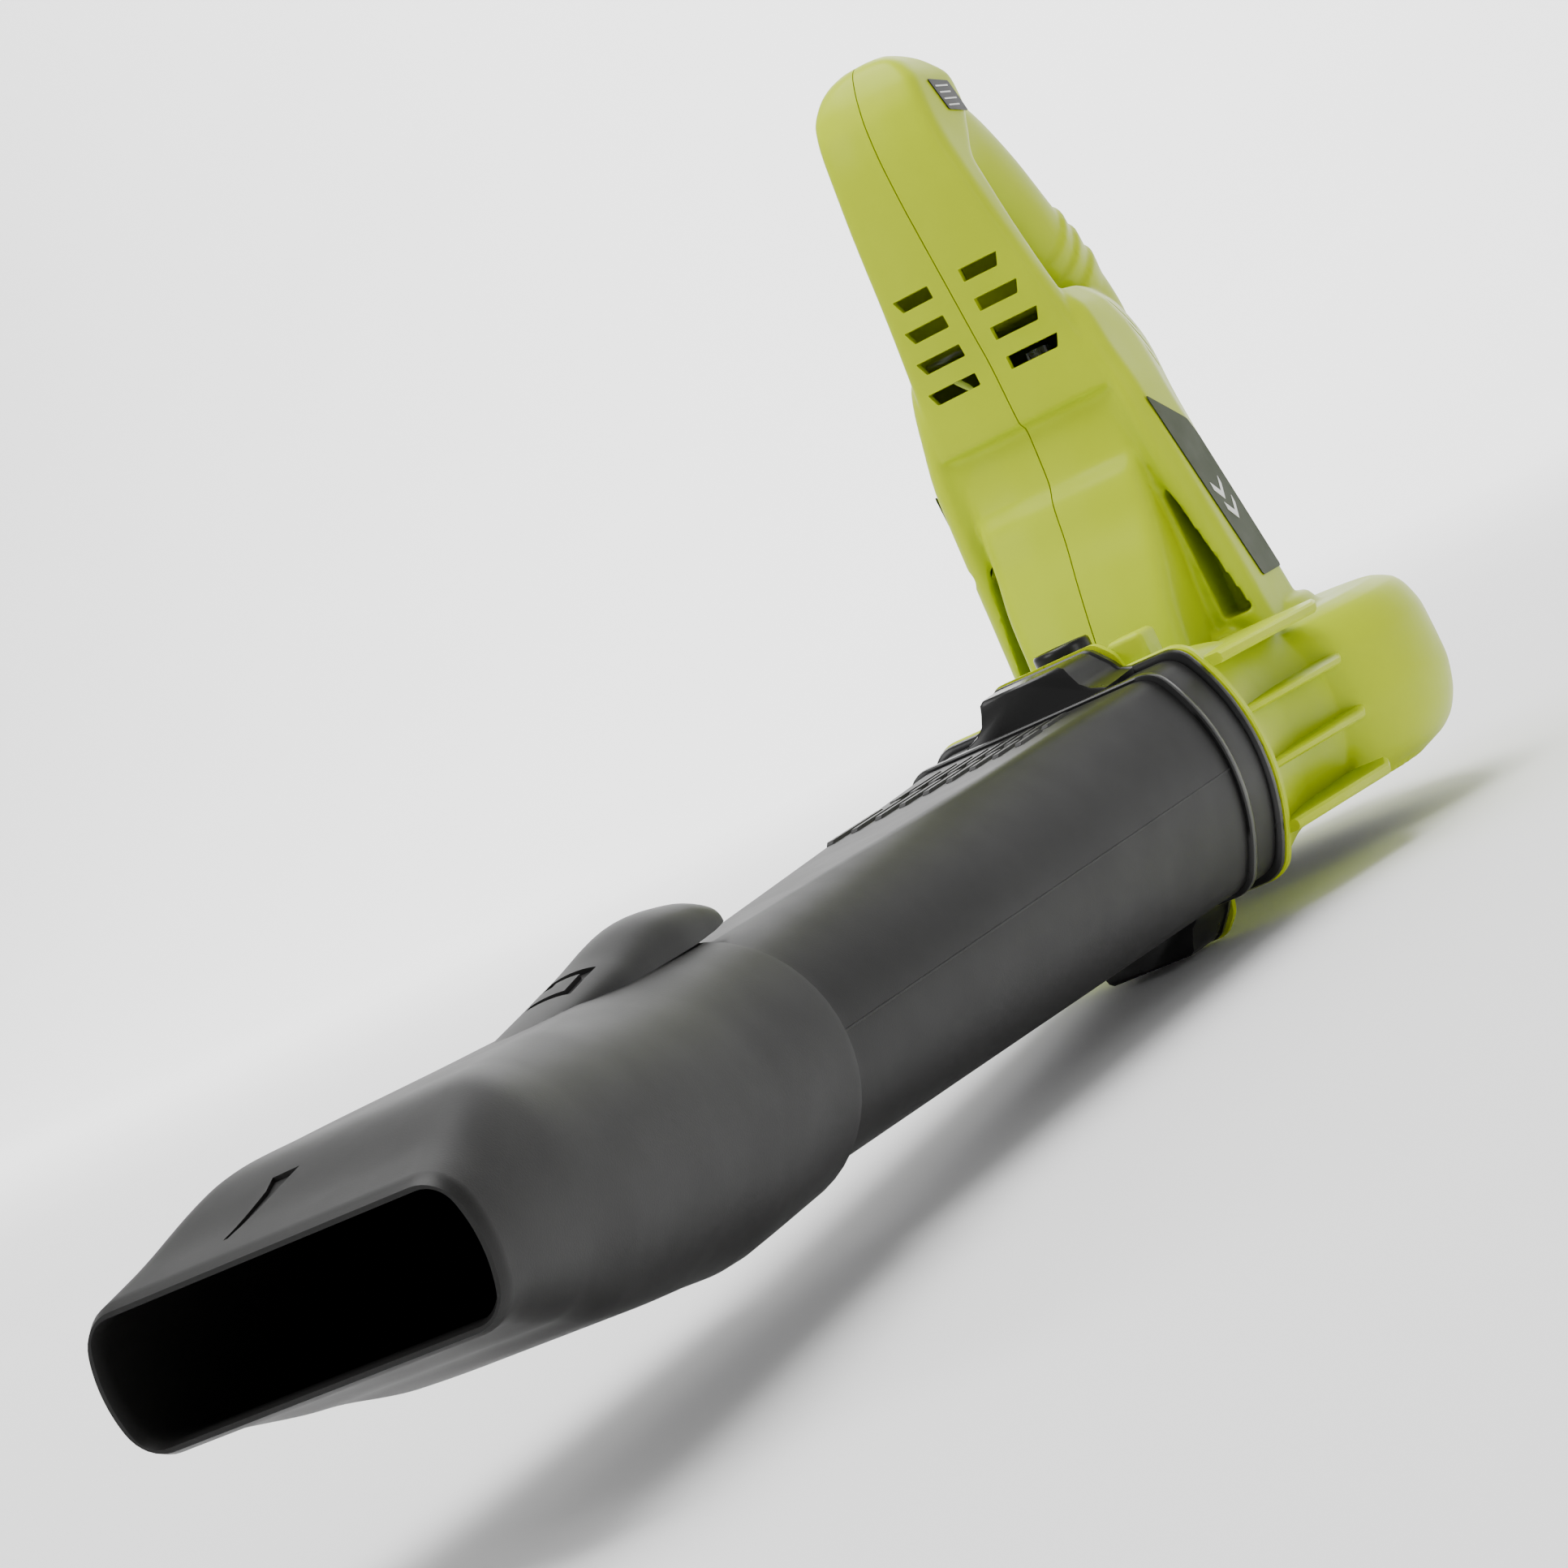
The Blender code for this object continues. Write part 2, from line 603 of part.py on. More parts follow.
def blower_tube():
    rear = FLANGE_Y - GASKET_T - 2 * GAP
    places = [TUBE_END_Y] + [TAPER_END_Y + k * (COLLAR_Y - TAPER_END_Y) / 6 for k in range(7)]
    stations = []
    for y in places:
        w, h, bow = tube_section(y)
        stations.append((y, w, h, CORNER, bow, DUCT_Z))
    stations += [
        (COLLAR_Y + 0.2 * MM, COLLAR_W, COLLAR_H, CORNER, SAG, DUCT_Z),
        (COLLAR_Y + 4 * MM, COLLAR_W, COLLAR_H, CORNER, SAG, DUCT_Z),
        (COLLAR_Y + 5 * MM, 50.6 * MM, 34.4 * MM, CORNER, SAG, DUCT_Z),
        (rear - 3.5 * MM, 50.6 * MM, 34.6 * MM, CORNER, SAG, DUCT_Z),
        (rear - 3 * MM, 52.7 * MM, 37.6 * MM, CORNER, SAG, DUCT_Z),
        (rear, 52.7 * MM, 37.6 * MM, CORNER, SAG, DUCT_Z),
        (rear + 0.2 * MM, SPIGOT_W, SPIGOT_H, CORNER, SAG, DUCT_Z),
        (rear + SPIGOT_LEN, SPIGOT_W, SPIGOT_H, CORNER, SAG, DUCT_Z),
    ]
    rings = [duct_ring(y, w, h, c, b, (0, z)) for y, w, h, c, b, z in stations]
    for y in (rear + SPIGOT_LEN, COLLAR_Y):
        rings.append(duct_ring(y, SPIGOT_W - DUCT_WALL, SPIGOT_H - DUCT_WALL, 7 * MM, 10 * MM))
    for y in reversed(places[:-1]):
        w, h, bow = tube_section(y)
        rings.append(duct_ring(y, w - DUCT_WALL, h - DUCT_WALL, 6.6 * MM,
                               bow * (h - DUCT_WALL) / h))
    tube = to_object("blower_tube", loft(rings, cyclic=True), "charcoal_plastic")
    boxes = []
    for side in (1, -1):
        rings = []
        for y, grow in ((COLLAR_Y + 7 * MM, -1.5), (rear, 0)):
            rings.append([(x * MM, y, DUCT_Z + side * z * MM) for x, z in (
                (23.3 + grow, 33.6), (21.9 + grow, 41), (16.7 + grow, 47.5),
                (-16.7 - grow, 47.5), (-21.9 - grow, 41), (-23.3 - grow, 33.6))])
        boxes.append(cutter(f"collar_box_{side + 1}", loft(rings)))
    boolean(tube, boxes, "UNION")


def nozzle_stations():
    """(y, half width, half height, corner, side bow, centre height) of the nozzle."""
    rows = ((-414, 35.0, 32.6, 9, 30.2, 0), (-452, 36.2, 32.8, 9, 30.3, 0.3),
            (-488, 38.6, 30.8, 13, 25, 3.0), (-538, 42.2, 27.5, 14, 17, 7.8),
            (-561, 43.8, 24.0, 16, 11, 10.8), (-586, 45.2, 17.0, 12, 5, 10.5),
            (-598, 45.8, 14.9, 9, 4, 9.7))
    return [(y * MM, w * MM, h * MM, c * MM, b * MM, DUCT_Z + z * MM)
            for y, w, h, c, b, z in rows]


def concentrator_nozzle():
    nozzle = to_object("nozzle", hollow(nozzle_stations(), DUCT_WALL), "charcoal_plastic")
    tab = []
    for y, half_w, low, high in ((-386, 5, 33.4, 34), (-392, 7.5, 33.4, 37),
                                 (-405, 10.5, 33.2, 41), (-423, 12.5, 32.2, 43.8),
                                 (-450, 12.5, 32.2, 39.4), (-474, 11, 32, 35.6),
                                 (-490, 8, 32.2, 33.6)):
        ring = []
        for k in range(10):
            t = pi * k / 9
            ring.append((half_w * MM * cos(t), y * MM,
                         DUCT_Z + (low + (high - low) * sin(t) ** 0.7) * MM))
        tab.append(ring)
    boolean(nozzle, [cutter("nozzle_tab", loft(tab))], "UNION")


def outlet_gasket():
    """Flat rubber ring between the tube's collar and the housing's flange."""
    y0, y1 = FLANGE_Y - GAP - GASKET_T, FLANGE_Y - GAP
    rings = []
    for y, w, h in ((y0, 52.3, 37.2), (y0, 48.4, 33.2), (y1, 48.4, 33.2), (y1, 52.3, 37.2)):
        rings.append(duct_ring(y, w * MM, h * MM))
    to_object("outlet_gasket", loft(rings, cyclic=True), "black_rubber")


def release_button():
    """Round tube-release button that sinks into the deck."""
    turned("release_button", [
        (0, BUTTON_TOP), (BUTTON_R - MM, BUTTON_TOP), (BUTTON_R, BUTTON_TOP - MM),
        (BUTTON_R, 72.5 * MM), (4.2 * MM, 72.5 * MM), (4.2 * MM, 70 * MM), (0, 70 * MM)],
        "black_plastic", 24, (0, BUTTON_Y))


def spring(name, radius, wire, low, high, turns, place, mat_name="steel"):
    """Compression spring as one helix of wire with filled ends."""
    steps = int(turns * 10)
    curve = bpy.data.curves.new(name, "CURVE")
    curve.dimensions = "3D"
    curve.bevel_depth = wire / 2
    curve.bevel_resolution = 1
    curve.use_fill_caps = True
    spline = curve.splines.new("POLY")
    spline.points.add(steps)
    for i, point in enumerate(spline.points):
        t = 2 * pi * turns * i / steps
        z = low + wire / 2 + (high - low - wire) * i / steps
        point.co = (radius * cos(t), radius * sin(t), z, 1)
    obj = bpy.data.objects.new(name, curve)
    obj.location = (*place, 0)
    curve.materials.append(material(mat_name))
    PARTS.objects.link(obj)


# ---------------------------------------------------------------- motor
def disc_with_hole(name, r_out, r_in, low, high, mat_name, segments=24):
    return turned(name, [(r_out, high), (r_out, low), (r_in, low), (r_in, high)],
                  mat_name, segments)


def motor():
    z0, z1 = STATOR_Z
    disc_with_hole("stator_core", STATOR_R, 22 * MM, z0, z1, "lamination", 36)
    for side, name in ((-1, "field_coil_right"), (1, "field_coil_left")):
        rings = []
        for z in (z0 - 5 * MM, z1 + 5 * MM):
            arc = [radians(a) for a in range(-50, 51, 10)]
            outer = [(side * 21.6 * MM * cos(a), 21.6 * MM * sin(a), z) for a in arc]
            inner = [(side * 16.6 * MM * cos(a), 16.6 * MM * sin(a), z) for a in reversed(arc)]
            rings.append(outer + inner)
        to_object(name, loft(rings), "copper")
    disc_with_hole("motor_shaft", SHAFT_R, 0, 8 * MM, 172 * MM, "steel", 20)
    disc_with_hole("armature_core", ARMATURE_R, SHAFT_R + GAP, z0 + 2 * MM, z1 - 2 * MM,
                   "lamination")
    disc_with_hole("winding_lower", 13.5 * MM, SHAFT_R + GAP, z0 - 5 * MM, z0 + 1.6 * MM,
                   "copper")
    disc_with_hole("winding_upper", 13.5 * MM, SHAFT_R + GAP, z1 - 1.6 * MM, z1 + 7 * MM,
                   "copper")
    disc_with_hole("commutator", 10 * MM, SHAFT_R + GAP, 148 * MM, 160 * MM, "brass", 24)
    disc_with_hole("bearing_upper", 9.5 * MM, SHAFT_R + 0.05 * MM, 163 * MM, 169 * MM, "steel")
    disc_with_hole("bearing_lower", 9.5 * MM, SHAFT_R + 0.05 * MM, 71 * MM, 77 * MM, "steel")
    disc_with_hole("bracket_lower", 21 * MM, 9.8 * MM, 71.4 * MM, 75 * MM, "aluminium_cast")
    disc_with_hole("bracket_upper", 23 * MM, 9.8 * MM, 164.4 * MM, 168 * MM, "aluminium_cast")
    for side, name in ((-1, "right"), (1, "left")):
        x0, x1 = sorted((side * 10.2 * MM, side * 20 * MM))
        to_object(f"brush_{name}", box((x0, -2.5 * MM, 151 * MM), (x1, 2.5 * MM, 157 * MM)),
                  "carbon")
        rings = []
        for x, half in ((13, 4.6), (24, 4.6), (24, 2.9), (13, 2.9)):
            rings.append([(side * x * MM, a * half * MM, 154 * MM + b * (half + 0.6) * MM)
                          for a, b in ((-1, -1), (1, -1), (1, 1), (-1, 1))])
        to_object(f"brush_holder_{name}", loft(rings, cyclic=True), "brass")


def bladed_wheel(name, r_hub, r_tip, low, high, plate, blades, lean, mat_name):
    """Back plate with a hub and curved blades below it."""
    bore = SHAFT_R + GAP
    wheel = turned(name, [(r_tip, high), (r_tip, high - plate), (r_hub, high - plate),
                          (r_hub, low), (bore, low), (bore, high)], mat_name, 36)
    tools = []
    for k in range(blades):
        outer, inner = [], []
        for s in range(5):
            r = r_hub * 0.88 + (r_tip - 0.6 * MM - r_hub * 0.88) * s / 4
            turn = 2 * pi * k / blades + lean * (s / 4) ** 1.5
            offset = 0.9 * MM / r
            outer.append((r * cos(turn + offset), r * sin(turn + offset)))
            inner.append((r * cos(turn - offset), r * sin(turn - offset)))
        plan = outer + inner[::-1]
        rings = [[(x, y, z) for x, y in plan] for z in (low + 0.4 * MM, high - plate / 2)]
        tools.append(cutter(f"{name}_blade_{k}", loft(rings)))
    boolean(wheel, tools, "UNION")


def fans():
    low, high = IMPELLER_Z
    bladed_wheel("impeller", 12 * MM, IMPELLER_R, low, high, 3 * MM, BLADES, -0.6,
                 "grey_nylon")
    bladed_wheel("cooling_fan", 9 * MM, 25 * MM, 79 * MM, 87 * MM, 2 * MM, 8, 0.4,
                 "grey_nylon")
    bore = (SHAFT_R + GAP) / cos(pi / 6)
    turned("impeller_nut", [(8 * MM, 10.6 * MM), (8 * MM, 6 * MM), (bore, 6 * MM),
                            (bore, 10.6 * MM)], "steel", 6)


# ---------------------------------------------------------------- labels and fasteners
def pod_side(z):
    """Half width of the pod's flat side at height z."""
    return 45 * MM - (z - 60 * MM) * 0.0717


def side_label(side, name):
    """Dark slanted panel on the pod's flat side."""
    outline = ((-38.5, 141.5), (-12, 130), (-9, 124), (1, 74), (-20, 74))
    rings = [[(side * (pod_side(z * MM) + t * MM), y * MM, z * MM) for y, z in outline]
             for t in (0.3, 0.7)]
    return to_object(name, loft(rings), "olive_label")


def rating_label():
    """Small black plate on the left side of the head."""
    outline = ((-43, 261), (-26, 260), (-22, 249), (-38, 250))
    rings = [[((20.4 - 0.074 * (z - 244) + t) * MM, y * MM, z * MM) for y, z in outline]
             for t in (0.4, 0.8)]
    to_object("rating_label", loft(rings), "black_label")


def screws():
    for i, (y, z, length) in enumerate(screw_places()):
        head = -length / 2 + 2 * MM
        bm = cone(3.2 * MM, 3.2 * MM, head - 2.4 * MM, head - GAP, 16, "X", (y, z))
        screw = to_object(f"housing_screw_{i + 1}", bm, "steel")
        shank = cone(1.6 * MM, 1.6 * MM, head - MM, length / 2 - 6 * MM, 12, "X", (y, z))
        boolean(screw, [cutter(f"screw_shank_{i}", shank)], "UNION")


def capacitor():
    to_object("capacitor", box((-7 * MM, 34 * MM, 140 * MM), (7 * MM, 44 * MM, 158 * MM)),
              "capacitor_yellow")


def main():
    housing()
    inlet_grille()
    blower_tube()
    concentrator_nozzle()
    outlet_gasket()
    release_button()
    spring("release_spring", 6.2 * MM, 0.9 * MM, BUTTON_FLOOR + GAP, 72.2 * MM, 3, (0, BUTTON_Y))
    trigger()
    switch_body()
    power_inlet()
    motor()
    fans()
    side_label(1, "side_label_left")
    side_label(-1, "side_label_right")
    rating_label()
    screws()
    capacitor()


clear_scene()
PARTS = new_collection("leaf_blower")
CUTTERS = new_collection("cutters")
main()
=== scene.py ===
"""Looks of the leaf blower: moulded lime housing, charcoal tube and nozzle, black collar."""

import json
from math import asin, cos, pi, radians, sin

import bmesh
import bpy
import numpy as np
from mathutils import Matrix, Vector


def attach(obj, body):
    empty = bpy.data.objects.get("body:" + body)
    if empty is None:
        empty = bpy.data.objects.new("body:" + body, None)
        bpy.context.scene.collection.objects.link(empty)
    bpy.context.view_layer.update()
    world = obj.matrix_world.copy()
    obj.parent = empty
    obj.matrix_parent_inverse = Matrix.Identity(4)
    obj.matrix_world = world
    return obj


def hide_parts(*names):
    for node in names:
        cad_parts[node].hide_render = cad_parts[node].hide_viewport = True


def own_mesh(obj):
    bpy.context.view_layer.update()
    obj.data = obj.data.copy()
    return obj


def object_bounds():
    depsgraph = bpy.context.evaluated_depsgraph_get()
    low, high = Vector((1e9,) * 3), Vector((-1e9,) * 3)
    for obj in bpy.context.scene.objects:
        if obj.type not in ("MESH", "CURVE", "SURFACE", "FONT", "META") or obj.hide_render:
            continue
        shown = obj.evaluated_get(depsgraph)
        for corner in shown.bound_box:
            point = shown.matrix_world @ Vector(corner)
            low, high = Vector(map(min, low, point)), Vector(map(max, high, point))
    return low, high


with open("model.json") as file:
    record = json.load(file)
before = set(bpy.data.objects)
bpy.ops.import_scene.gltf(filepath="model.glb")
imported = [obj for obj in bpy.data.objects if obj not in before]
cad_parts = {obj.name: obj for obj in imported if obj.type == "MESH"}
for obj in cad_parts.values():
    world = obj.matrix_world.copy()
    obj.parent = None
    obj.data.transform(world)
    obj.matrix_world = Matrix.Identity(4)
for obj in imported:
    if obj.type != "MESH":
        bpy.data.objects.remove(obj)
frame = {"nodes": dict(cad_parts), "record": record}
cad_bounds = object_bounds()

MM = 0.001                       # every length below is in millimetres
WALL, DUCT_WALL = 2.8, 2.4       # housing; tube and nozzle
SEAM = 0.2                       # half the gap between the housing's two halves
CASE_TOP, BASE_R = 58, 60.5      # fan casing's height and least radius
TONGUE_R, TONGUE_DEG = 69.6, 50  # the scroll's smallest radius, and where it lies
SCROLL_GROWTH, SCROLL_TURN = 0.152, 255  # growth per degree, and the degrees it grows for
FACET_MARGIN = 0.35              # keeps the round casing inside the CAD's flat-sided one
DUCT_Z, DUCT_CORNER, DUCT_BOW = 31.0, 9, 11  # axis height and section of neck, collar and tube
COLLAR_Y, TAPER_END_Y, TUBE_END_Y = -148.0, -408, -456
SPIGOT_W, SPIGOT_H = 47.2, 32
BUTTON_Y, BUTTON_FLOOR, BUTTON_R = -97, 66.2, 9.3
TRIGGER_SLOT = ((-1, 230), (8, 230), (23, 207), (19, 195), (8, 195), (-2, 212))  # (y, z)
SCREWS = ((-35, 112, 60), (-30, 262, 36), (38, 190, 31), (52, 92, 41), (95, 29, 18))  # y, z, length
SOCKET_Z, SOCKET_R = 120, 13
PLATEAU = ((0.01, 50), (52, 50), (50.5, 57), (47.5, 62.6), (46, 63.5), (0.01, 63.5))
VOXEL, CORE_VOXEL = 0.9, 2.2


# ---------------------------------------------------------------- mesh helpers
def link(name, mesh):
    obj = bpy.data.objects.new(name, mesh)
    bpy.context.scene.collection.objects.link(obj)
    return obj


def from_bmesh(name, bm):
    bmesh.ops.recalc_face_normals(bm, faces=bm.faces)
    mesh = bpy.data.meshes.new(name)
    bm.to_mesh(mesh)
    bm.free()
    return link(name, mesh)


def remove(objects):
    for obj in objects:
        bpy.data.objects.remove(obj, do_unlink=True)


def evaluate(obj):
    """Replace obj's mesh by its evaluated one and drop the modifiers."""
    graph = bpy.context.evaluated_depsgraph_get()
    mesh = bpy.data.meshes.new_from_object(obj.evaluated_get(graph))
    obj.modifiers.clear()
    obj.data = mesh
    return obj


def boolean(obj, tools, operation):
    for tool in tools:
        mod = obj.modifiers.new("cut", "BOOLEAN")
        mod.operation = operation
        mod.solver = "MANIFOLD"
        mod.object = tool
    evaluate(obj)
    remove(tools)
    return obj


def merged(name, objects):
    """Put several objects' meshes into one, and remove them."""
    bm = bmesh.new()
    for obj in objects:
        bm.from_mesh(obj.data)
    mesh = bpy.data.meshes.new(name)
    bm.to_mesh(mesh)
    bm.free()
    remove(objects)
    return link(name, mesh)


def loft(name, rings, cyclic=False):
    """Skin equal-length rings of millimetre points."""
    bm = bmesh.new()
    rows = [[bm.verts.new((x * MM, y * MM, z * MM)) for x, y, z in ring] for ring in rings]
    count = len(rows[0])
    for i in range(len(rows) if cyclic else len(rows) - 1):
        a, b = rows[i], rows[(i + 1) % len(rows)]
        for k in range(count):
            j = (k + 1) % count
            bm.faces.new((a[k], a[j], b[j], b[k]))
    if not cyclic:
        bm.faces.new(rows[0])
        bm.faces.new(rows[-1])
    return from_bmesh(name, bm)


def box(name, low, high, bevel=0.0):
    bm = bmesh.new()
    bmesh.ops.create_cube(bm, size=1.0)
    low, high = Vector(low) * MM, Vector(high) * MM
    bmesh.ops.scale(bm, vec=high - low, verts=bm.verts)
    bmesh.ops.translate(bm, vec=(low + high) / 2, verts=bm.verts)
    if bevel:
        bmesh.ops.bevel(bm, geom=bm.edges, offset=bevel * MM, segments=4, profile=0.5,
                        affect="EDGES")
    return from_bmesh(name, bm)


def lathe(name, profile, place=(0, 0), segments=96):
    """Turn a closed (radius, height) profile about a vertical axis."""
    rings = []
    for k in range(segments):
        t = 2 * pi * k / segments
        rings.append([(place[0] + r * cos(t), place[1] + r * sin(t), z) for r, z in profile])
    return loft(name, rings, cyclic=True)


def finish_mesh(obj, mat, angle=40):
    obj.data.materials.clear()
    obj.data.materials.append(mat)
    obj.data.shade_smooth()
    obj.data.set_sharp_from_angle(angle=radians(angle))
    return obj


def refine(rows, step):
    """Monotone cubic interpolation of station rows along their rising first column."""
    rows = np.array(rows, float)
    x, v = rows[:, 0], rows[:, 1:]
    span = np.diff(x)
    slope = np.diff(v, axis=0) / span[:, None]
    tangent = np.zeros_like(v)
    tangent[0], tangent[-1] = slope[0], slope[-1]
    for i in range(1, len(x) - 1):
        a, b = slope[i - 1], slope[i]
        same = a * b > 0
        tangent[i][same] = 2 * a[same] * b[same] / (a[same] + b[same])
    out = []
    for q in np.linspace(x[0], x[-1], int((x[-1] - x[0]) / step) + 1):
        i = min(max(int(np.searchsorted(x, q)) - 1, 0), len(span) - 1)
        h = span[i]
        t = (q - x[i]) / h
        row = ((2 * t ** 3 - 3 * t ** 2 + 1) * v[i] + (t ** 3 - 2 * t ** 2 + t) * h * tangent[i]
               + (3 * t ** 2 - 2 * t ** 3) * v[i + 1] + (t ** 3 - t ** 2) * h * tangent[i + 1])
        out.append((q, *row))
    return out


def rounded(points, radius, steps=4):
    """Round every corner of a closed 2-D outline with a short curve."""
    out = []
    count = len(points)
    for i in range(count):
        a, p, b = (Vector(points[(i + k) % count]) for k in (-1, 0, 1))
        to_a, to_b = a - p, b - p
        start = p + to_a * min(radius / max(to_a.length, 1e-6), 0.45)
        end = p + to_b * min(radius / max(to_b.length, 1e-6), 0.45)
        for s in range(steps + 1):
            t = s / steps
            out.append((1 - t) ** 2 * start + 2 * t * (1 - t) * p + t ** 2 * end)
    return out


def duct_ring(y, w, h, corner, bow, cx=0.0, cz=DUCT_Z):
    """Fine X-Z ring with flat top and bottom, bowed sides and round corners."""
    side_r = (h ** 2 + bow ** 2) / (2 * bow)
    arc_x = w - side_r
    lift = asin(min(1.0, (h - corner) / (side_r - corner)))
    quarter = [(arc_x + side_r * cos(t), side_r * sin(t)) for t in np.linspace(0, lift, 13)]
    knee = Vector((arc_x + (side_r - corner) * cos(lift), (side_r - corner) * sin(lift)))
    quarter += [(knee.x + corner * cos(t), knee.y + corner * sin(t))
                for t in np.linspace(lift, pi / 2, 9)[1:]]
    quarter += [(knee.x * t, h) for t in np.linspace(1, 0, 8)[1:]]
    ring = quarter + [(-x, z) for x, z in reversed(quarter[:-1])]
    ring += [(-x, -z) for x, z in quarter[1:]] + [(x, -z) for x, z in reversed(quarter[1:-1])]
    return [(cx + x, y, cz + z) for x, z in ring]


def mirrored(half):
    return [(x, y) for x, y in half] + [(-x, y) for x, y in reversed(half)]


# ---------------------------------------------------------------- housing
def scroll_radius(deg):
    """Outer radius at an angle: it grows from the tongue, then falls back to it."""
    turn = (deg + TONGUE_DEG) % 360
    if turn <= SCROLL_TURN:
        return TONGUE_R + SCROLL_GROWTH * turn
    back = (turn - SCROLL_TURN) / (360 - SCROLL_TURN)
    return TONGUE_R + SCROLL_GROWTH * SCROLL_TURN * (1 - back)


def scroll(inset):
    """Round fan casing, as rows of (height, how far the wall tucks in)."""
    squeeze = (CASE_TOP - 2 * inset) / CASE_TOP
    rings = []
    rows = refine(((0, 18.5), (3, 11), (8, 5.6), (16, 1.8), (26, 0), (42, 0.4), (50, 2.4),
                   (55, 5.6), (58, 12)), 1.5)
    for height, tuck in rows:
        ring = []
        for k in range(120):
            full = scroll_radius(k * 3) - FACET_MARGIN
            r = full - inset - min(tuck, full - BASE_R)
            t = radians(k * 3)
            ring.append((r * cos(t), r * sin(t), inset + height * squeeze))
        rings.append(ring)
    return loft("scroll", rings)


def outlet(inset):
    """Neck from the scroll to the flange; (y, left x, right x, centre z, half height)."""
    rows = [(-125, -50.4, 50.4, 31, 35.2), (-116.5, -50.4, 50.4, 31, 35.2),
            (-101, -50.4, 50.4, 31, 35.2), (-82, -60, 50, 31.5, 33.4),
            (-55, -74, 54, 31, 29.5), (-30, -86, 58, 31, 27)]
    if not inset:              # only the hollow runs on past the flange, to open the duct
        rows = rows[1:]
    rings = []
    for y, left, right, cz, h in refine(rows, 2.0):
        rings.append(duct_ring(y, (right - left) / 2 - inset, h - inset, DUCT_CORNER, DUCT_BOW,
                               (left + right) / 2, cz))
    return loft("outlet", rings)


# Front part of the handle: (z, front y, rear y, half width at the front, half width at the side)
SPINE = [
    (60, -72, 0, 22, 26), (76, -67.6, 0, 23.4, 26.6), (96.5, -59.6, 0, 25.6, 28.6),
    (110, -53.3, 0, 26.5, 29), (122.5, -49.1, 0, 27, 29.6), (129, -44.3, 0, 28, 31),
    (141, -42.4, 0, 30.6, 32.6), (148.4, -41.8, -3, 30.2, 32.8), (149.6, -45.6, -4, 31.4, 33.4),
    (171, -47.4, -16, 28.4, 30.5), (182, -49.8, -28, 26.6, 28.6), (203, -54.2, -31, 23.5, 25.5),
    (217, -57.2, -32, 21.7, 23.7), (231, -59.8, -32, 19.9, 21.9), (244, -61, -20, 18.4, 20.4),
    (253.5, -60.2, -12, 17.9, 19.8), (262, -57.4, -11, 17.3, 19.1),
    (268.5, -53.6, -17, 14.5, 16), (272.5, -50, -22, 10.5, 12), (274.5, -46, -28, 6.5, 8.5)]


def spine(inset):
    """Front of the handle, from the fan casing to the head's crown."""
    rings = []
    for z, front, rear, w_front, w_side in refine(SPINE, 1.5):
        if inset and not 66.5 < z < 272:
            continue
        front, rear = front + inset, rear - inset
        w_front, w_side = w_front - inset, w_side - inset
        chamfer = min(4, (rear - front) / 3)
        outline = mirrored([(w_front * 0.45, front + 0.2), (w_front, front + 2.6),
                            (w_side, front + 2.6 + chamfer), (w_side, rear - 2 * chamfer),
                            (w_side - chamfer, rear)])
        rings.append([(x, y, z) for x, y in rounded(outline, 3.2)])
    return loft("spine", rings)


def pod(inset):
    """Motor cover: (z, half width, front y, side's end y, half width at the rear, rear y)."""
    rows = [(60, 45, -36, 3, 20, 74), (91, 42.8, -39, -1, 20, 67), (109, 41.5, -41, -5, 20, 62),
            (127, 40.2, -43, -9, 20, 61), (143, 39.05, -44, -12, 19.5, 61),
            (160, 36, -44, -8, 18, 64), (175, 33, -42, -12, 16, 58), (184, 27, -40, -18, 13, 50)]
    if inset:
        rows[0] = (62, 44.8, -36, 3, 20, 73.5)
        rows[-1] = (181, 29, -40, -17, 13, 52)
    rings = []
    for z, w, front, side_end, w_rear, rear in refine(rows, 2.0):
        w, w_rear = w - inset, w_rear - inset
        front, rear = front + inset, rear - inset
        outline = mirrored([
            (min(30, w - 8), front + 3.5), (w - 5, front), (w, front + 5), (w, side_end),
            (0.35 * w_rear + 0.65 * w, 0.35 * rear + 0.65 * side_end),
            (0.8 * w_rear + 0.2 * w, 0.75 * rear + 0.25 * side_end), (0.85 * w_rear, rear)])
        rings.append([(x, y, z) for x, y in rounded(outline, 3.0)])
    return boolean(loft("pod", rings), [side_pocket(side, inset) for side in (1, -1)],
                   "DIFFERENCE")


def side_pocket(side, grow):
    """Tapered recess between the front box and the pod's front corner."""
    outline = ((30.5 - grow, 66 - grow), (41 + grow, 66 - grow), (34.3 + grow, 107),
               (31 - grow, 119 + 2 * grow))
    return loft("pocket", [[(side * x, y, z) for x, z in outline] for y in (-60, -14 + grow)])


